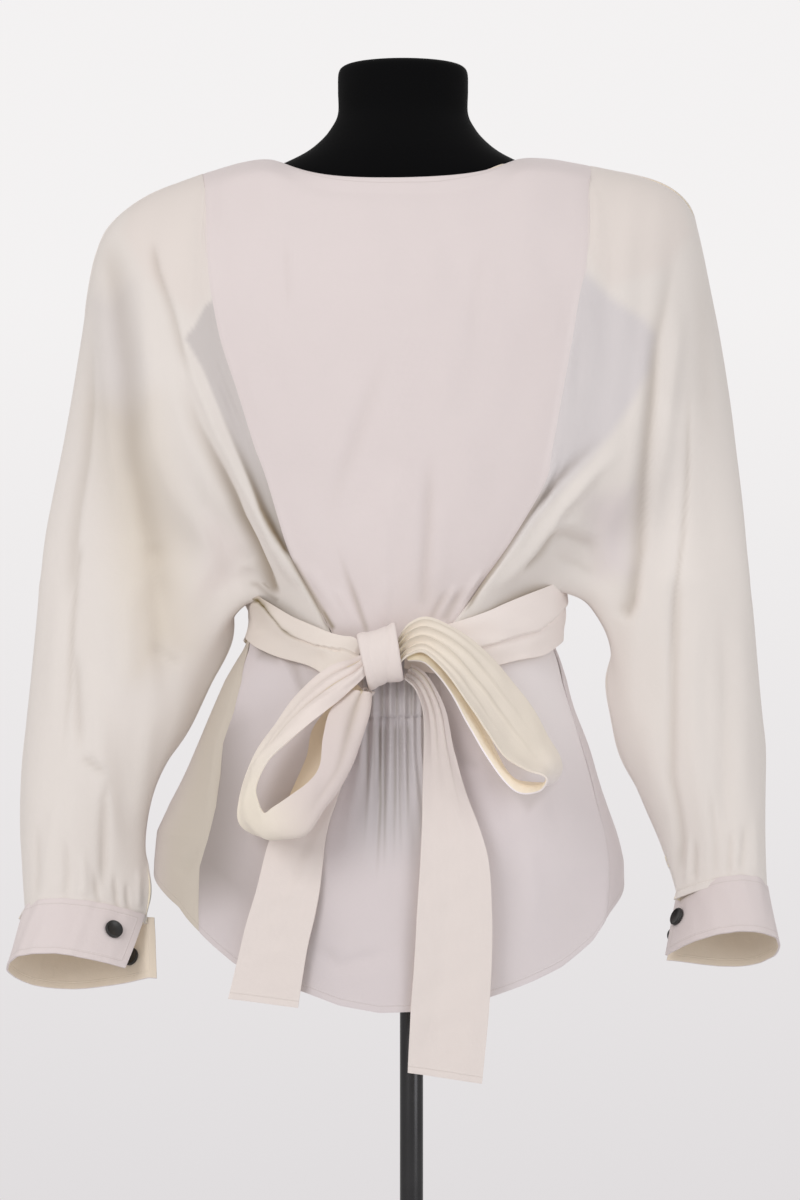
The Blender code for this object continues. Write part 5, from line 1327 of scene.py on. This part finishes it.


# Bow: its knot, two loops and two tails
# The same strip goes on: it wraps the knot, stands out in two loops whose inner sides
# have a painted warm glow, and ends in two long tails with stitched ends.
# near edge, middle or fold, far edge, each x y z (mm)
LOOP_LEFT = [
    (-37, -129.3, 977.4, -37, -126, 986, -37.1, -122, 994.5),
    (-45.2, -131.6, 968.4, -45.7, -125, 979, -46.2, -118, 989.5),
    (-68.6, -148, 948.4, -67.7, -134, 965.5, -66.8, -118, 982.1),
    (-86.3, -158, 934.1, -89, -139, 948, -91.6, -117, 961.4),
    (-104, -163, 918.9, -109, -141, 925.5, -113.8, -117, 931.7),
    (-117.7, -166, 905.2, -125, -143, 904.5, -131.9, -118, 903.7),
    (-125.7, -168, 886.7, -134, -145, 879.5, -141.7, -120, 872.5),
    (-124.6, -170, 875.5, -134, -147, 862, -141.6, -122, 853.7),
    (-119.6, -172, 865.5, -120.5, -160, 848, -128.4, -124, 844.8),
    (-112.5, -174, 869.8, -106.5, -169, 846.4, -115.2, -125, 844.8),
    (-99.2, -174, 878.9, -88.4, -169, 849.5, -108.6, -125, 859.6),
    (-84, -172, 890, -73.1, -166, 870.4, -100.4, -124, 877.7),
    (-75, -166, 903, -54.6, -158, 899.2, -87.3, -121, 907.2),
    (-72.5, -156, 926, -45.8, -148, 921.5, -82, -118, 930.9),
    (-66, -144, 948, -38.6, -138, 944, -66.9, -115, 950.6),
    (-50, -131, 962, -37.8, -128, 960.1, -45.4, -113, 967.9),
]
# near edge x y z, far edge x y z (mm)
LOOP_RIGHT = [
    (-12.4, -131, 984.8, -12.4, -122, 1004.4), (-3.3, -132, 992.2, -2.5, -122, 1018.4),
    (10.6, -140, 994.8, 14.8, -121, 1023.3), (28.4, -152, 978.7, 42.1, -118, 1010.1),
    (44.5, -160, 956.1, 64.4, -114, 991.9), (60.6, -166, 932, 83.4, -113, 969.6),
    (75.9, -170, 910.3, 100.8, -113, 947.3), (92, -172, 900.7, 113.1, -114, 924.2),
    (105.7, -173, 896.7, 123, -115, 906.9), (109.7, -173, 891, 123.8, -116, 894.5),
    (103.3, -172, 882.1, 115.5, -116, 886.3), (87.1, -172, 880.5, 97.4, -116, 886.3),
    (75, -171, 889.3, 82.5, -116, 890.4), (59.7, -168, 910.2, 70.1, -116, 908.6),
    (43.7, -162, 938.3, 56.2, -114, 939.9), (28.4, -152, 965.6, 38, -112, 967.9),
    (11.4, -140, 984.9, 19.9, -112, 989.4), (-3.3, -128, 987.2, -1.6, -110, 997.6),
]
# left edge x y z, right edge x y z (mm)
TAIL_RIGHT = [
    (-5.8, -118, 973, 0, -112, 984.4), (4.1, -116, 963, 13.2, -113, 974.5),
    (9.9, -115, 941.5, 27.3, -114, 948.1), (9.9, -116, 911.9, 34.7, -116, 913.5),
    (9, -121, 880.8, 44.5, -121, 879.1), (8.2, -130, 848.5, 56.6, -129, 846.8),
    (6.5, -136, 817.8, 63.1, -134, 820.9), (4, -141, 779.7, 65.4, -138, 783.5),
    (2.4, -144, 749, 65.4, -140, 746.9), (-0.9, -146, 702.7, 62.8, -143, 700.7),
    (-3.4, -147, 651.4, 57.1, -145, 642.1),
]
# the same columns
TAIL_LEFT = [
    (-40.5, -114, 964.1, -30.5, -114, 960.7), (-51.3, -107, 946.2, -38, -108, 947.9),
    (-67.9, -107, 913.1, -48, -109, 914.9), (-86, -109, 890, -54.5, -112, 895.2),
    (-102.5, -112, 867.1, -62.7, -117, 870.7), (-117.3, -114, 840.8, -70.9, -121, 842.9),
    (-128.7, -117, 797.3, -75.7, -127, 802.2), (-136.9, -118, 770.1, -80.5, -129, 776.1),
    (-142.6, -119, 746.3, -86.2, -131, 750.9), (-151.6, -121, 708.6, -93.6, -133, 702.7),
]
# height of the crown and of the wave across a strip (mm)
LOOP_BEND, TAIL_BEND = (2.0, 1.5), (1.5, 0.8)
STRIP_COLUMNS = 44
# pleats that spread from the knot: place across, half width, height (mm), where along the strip they end
LEFT_PLEATS = [
    (0.22, 0.07, 2.2, 0.3), (0.45, 0.05, -2.4, 0.5), (0.62, 0.08, 2.4, 0.35), (0.8, 0.05, -2.0, 0.25),
]
LEFT_END_PLEATS = [(0.3, 0.06, -2.2, 0.35), (0.55, 0.08, 2.2, 0.3), (0.75, 0.05, -1.8, 0.3)]
RIGHT_PLEATS = [
    (0.12, 0.045, 2.6, 0.3), (0.22, 0.03, -2.8, 0.36), (0.34, 0.05, 2.8, 0.32),
    (0.46, 0.03, -2.8, 0.46), (0.58, 0.05, 2.6, 0.3), (0.68, 0.03, -2.6, 0.4), (0.78, 0.04, 2.2, 0.3),
    (0.88, 0.03, -2.4, 0.3),
]
RIGHT_END_PLEATS = [(0.35, 0.06, -2.0, 0.3), (0.65, 0.07, 2.0, 0.3)]
TAIL_PLEATS = [
    (0.25, 0.06, 1.8, 0.4), (0.45, 0.05, -2.2, 0.42), (0.62, 0.05, 1.8, 0.35), (0.76, 0.03, -2.4, 0.5),
]
# table, bend, rows, pleats at the knot and at the other end, colour shares with painted light and shade,
# seed of its unevenness, whether its end is stitched, whether it is flipped, painted shade of its last part
STRIPS = {
    "loop_left": (LOOP_LEFT, LOOP_BEND, 230, LEFT_PLEATS, LEFT_END_PLEATS, LEFT_LOOP_PAINTED_LIGHT, 71, False, False, 0.0),
    "loop_right": (LOOP_RIGHT, LOOP_BEND, 230, RIGHT_PLEATS, RIGHT_END_PLEATS, RIGHT_LOOP_PAINTED_LIGHT, 73, False, True,
                   0.3),
    "tail_left": (TAIL_LEFT, TAIL_BEND, 150, TAIL_PLEATS, (), [BRIGHT, BRIGHT], 75, True, True, 0.0),
    "tail_right": (TAIL_RIGHT, TAIL_BEND, 190, TAIL_PLEATS, (), [BRIGHT, BRIGHT], 77, True, True, 0.0),
}
# knot: middle x y z, width across its band, thickness (mm), lean, colour share
KNOT_AT, KNOT_WIDE, KNOT_THICK, KNOT_LEAN = (-25.5, -118.5, 990.5), 32, 2.4, math.radians(17)
KNOT_TONE, KNOT_GRID = (1.11, 1.11, 1.07), (140, 80)
KNOT_HIGH, KNOT_DEEP = 22.6, 14.6       # half height and half depth inside the band (mm)


def ribbon_places(table, bend, us, vs):
    """Places of a strip between the edges of its table, bent where the table has a middle place."""
    rows = rows_at(table, vs)[:, None, :]
    first, last, s = rows[..., :3], rows[..., -3:], (2 * us - 1)[None, :, None]
    middle = rows[..., 3:6] if rows.shape[2] == 9 else (first + last) / 2
    k = (np.sqrt(s * s + 0.01) - 0.1) / (math.sqrt(1.01) - 0.1)
    places = first * (k - s) / 2 + last * (k + s) / 2 + middle * (1 - k)
    out, u = outward(places), us[None, :, None]
    crown, wave = bend
    return places + out * (crown * np.sin(math.pi * u) + wave * np.sin(2 * math.pi * u)), out


def strip_of(name):
    """Loop or tail: a strip with pleats at its ends, its columns turned round where it is flipped."""
    table, bend, count, pleats, end_pleats, tone, seed, hem, flip, gloom = STRIPS[name]
    us, vs = np.linspace(0, 1, STRIP_COLUMNS), np.linspace(0, 1, count)
    places, out = ribbon_places(table, bend, us, vs)
    u, v = np.meshgrid(us, vs)
    heights, dark = np.zeros(u.shape), np.zeros(u.shape)
    # painted shade in the troughs of the pleats and, by gloom, on the last part of the strip
    for lines, along in ((pleats, v), (end_pleats, 1 - v)):
        for place, half, height, end in lines:
            line = np.exp(-((u - place) / half) ** 2) * ease((end - along) / end)
            heights += height * line
            dark = np.maximum(dark, 0.5 * line * (height < 0))
    dark = np.maximum(dark, gloom * ease((v - 0.72) / 0.2))
    run = lengths(places, 0)
    heights += 0.6 * unrest(u * 40, run * 0.5, seed, 12, 60)
    heights *= ease(v / 0.02) * (0.35 + 0.65 * np.sin(math.pi * u) ** 0.4)
    places = places + out * heights[..., None]
    edge = run[-1:] - run if hem else np.full(run.shape, NO_HEM)
    if flip:
        places, edge = places[:, ::-1], edge[:, ::-1]
    else:
        places = places + outward(places) * SASH_WALL
    # painted light and shade along the strip from its table of colour shares
    tone = rows_at(tone, vs)[:, None, :]
    tone = tinted(1.0, FOLD_SHADE, dark[:, ::-1] if flip else dark) * tone
    return sheet_of(name, places, tone, edge, SASH_WALL)


def knot_mesh():
    """Wrap of the bow: a closed band round the gathered strips, creased across."""
    bm = bmesh.new()
    bmesh.ops.create_grid(bm, x_segments=KNOT_GRID[0], y_segments=KNOT_GRID[1], size=0.5)
    lean, half, thick = KNOT_LEAN, KNOT_WIDE / 2, KNOT_THICK
    for vert in bm.verts:
        u, corner = (vert.co.x + 0.5) % 1.0, ((vert.co.y + 0.5) % 1.0) * 4
        if corner < 1:
            w, h = -half + KNOT_WIDE * corner, thick
        elif corner < 2:
            w, h = half, thick * (2 - corner)
        elif corner < 3:
            w, h = half - KNOT_WIDE * (corner - 2), 0.0
        else:
            w, h = -half, thick * (corner - 3)
        t = 2 * math.pi * u
        round_edge = 1.4 * (abs(w) / half) ** 8
        line = 0.9 * math.exp(-((w - 5 - 4 * math.sin(t)) / 1.6) ** 2)
        line += 0.7 * math.exp(-((w + 7 + 2 * math.cos(t)) / 1.5) ** 2)
        pull = 1 - 0.10 * math.cos(math.pi * w / KNOT_WIDE) ** 2
        h = h - round_edge * (h > thick / 2) - line * (h > thick / 2)
        rz, ry = KNOT_HIGH * pull + h, KNOT_DEEP * pull + h
        x = w * (1.0 + 0.06 * math.sin(t)) - 2.1 * math.sin(t)
        y, z = -ry * math.cos(t), rz * math.sin(t)
        knot_x, knot_y, knot_z = KNOT_AT
        vert.co = Vector((knot_x + x * math.cos(lean) - z * 0.10, knot_y + y,
                          knot_z + z + x * math.sin(lean))) * MM
    bmesh.ops.remove_doubles(bm, verts=bm.verts[:], dist=1e-6)
    bmesh.ops.recalc_face_normals(bm, faces=bm.faces[:])
    mesh = mesh_of("knot", bm)
    mesh.uv_layers.new(name="cloth")
    count = len(mesh.vertices)
    mark_cloth(mesh, np.tile(KNOT_TONE, (count, 1)), np.full(count, NO_HEM))
    return mesh


knot = show(object_of("knot", knot_mesh(), crepe), "bow_knot")
piece = show(strip_of("loop_left"), "bow_loop_left")
piece = show(strip_of("loop_right"), "bow_loop_right")
piece = show(strip_of("tail_left"), "sash_tail_left")
piece = show(strip_of("tail_right"), "sash_tail_right")


# Floor, light and camera
# A plain pale floor and backdrop under large soft lights, seen from the photo's place.
FLOOR_R, FLOOR_DROP, FLOOR_SIDES = 1.6, 0.0005, 96
SKY_SPAN = 0.22         # rise of the look below and above level between which the backdrop changes
SKY = ((0.0, (0.725, 0.70, 0.71, 1)), (0.7, (0.90, 0.885, 0.885, 1)))
SKY_LIGHT = 0.55
EYE = (-0.0099, -2.867, 1.0373)
LENS, SENSOR = 100, 36  # mm


def floor_look():
    look = Look("pale_floor", {"Roughness": 0.6})
    grain = speckle(look, place_of(look), 240.0)
    look.feed(Base_Color=mixed(look, grain, (0.80, 0.79, 0.80, 1), (0.83, 0.82, 0.83, 1)))
    return look.material


bm = bmesh.new()
bmesh.ops.create_circle(bm, cap_ends=True, segments=FLOOR_SIDES, radius=FLOOR_R)
floor_mesh = bpy.data.meshes.new("floor")
bm.to_mesh(floor_mesh)
bm.free()
floor = object_of("floor", floor_mesh, floor_look())
floor.location.z = -FLOOR_DROP

world = bpy.data.worlds.new("studio")
bpy.context.scene.world = world
world.use_nodes = True
world.node_tree.nodes.clear()
sky = Nodes(world.node_tree)
spot = sky.node("ShaderNodeTexCoord", {}, {}, "Generated")
rise = sky.node("ShaderNodeSeparateXYZ", {}, {0: spot}, "Z")
share = sky.node("ShaderNodeMapRange", {}, {"Value": rise, "From Min": -SKY_SPAN, "From Max": SKY_SPAN})
ramp = sky.node("ShaderNodeValToRGB", {}, {0: share})
for stop, (place, color) in zip(ramp.socket.node.color_ramp.elements, SKY):
    stop.position, stop.color = place, color
shown = sky.node("ShaderNodeBackground", {}, {"Color": ramp})
lit = sky.node("ShaderNodeBackground", {}, {"Color": (1.0, 0.985, 0.97, 1), "Strength": SKY_LIGHT})
seen = sky.node("ShaderNodeLightPath", {}, {}, "Is Camera Ray")
chosen = sky.node("ShaderNodeMixShader", {}, {0: seen, 1: lit, 2: shown})
out = world.node_tree.nodes.new("ShaderNodeOutputWorld")
world.node_tree.links.new(chosen.socket, out.inputs["Surface"])


def soft_light(name, place, aim, size, watts, color):
    data = bpy.data.lights.new(name, "AREA")
    data.shape, data.energy, data.color = "RECTANGLE", watts, color
    data.size, data.size_y = size
    lamp = bpy.data.objects.new(name, data)
    bpy.context.scene.collection.objects.link(lamp)
    lamp.location = place
    lamp.rotation_euler = (Vector(aim) - Vector(place)).to_track_quat("-Z", "Y").to_euler()


soft_light("key_light", (-1.9, -2.6, 2.4), (0, 0, 1.1), (1.6, 1.8), 42, (1.0, 0.985, 0.965))
soft_light("fill_light", (2.3, -2.3, 1.7), (0, 0, 1.05), (1.6, 2.0), 22, (0.98, 0.99, 1.0))
soft_light("far_light", (0.4, 2.6, 2.2), (0, 0, 1.0), (2.2, 1.6), 22, (1.0, 1.0, 1.0))

camera = bpy.data.cameras.new("camera")
camera.lens, camera.sensor_width, camera.sensor_fit = LENS, SENSOR, "AUTO"
eye = bpy.data.objects.new("camera", camera)
bpy.context.scene.collection.objects.link(eye)
eye.location, eye.rotation_euler = EYE, (math.radians(90), 0, 0)
bpy.context.scene.camera = eye
bpy.context.scene.view_settings.view_transform = "Standard"
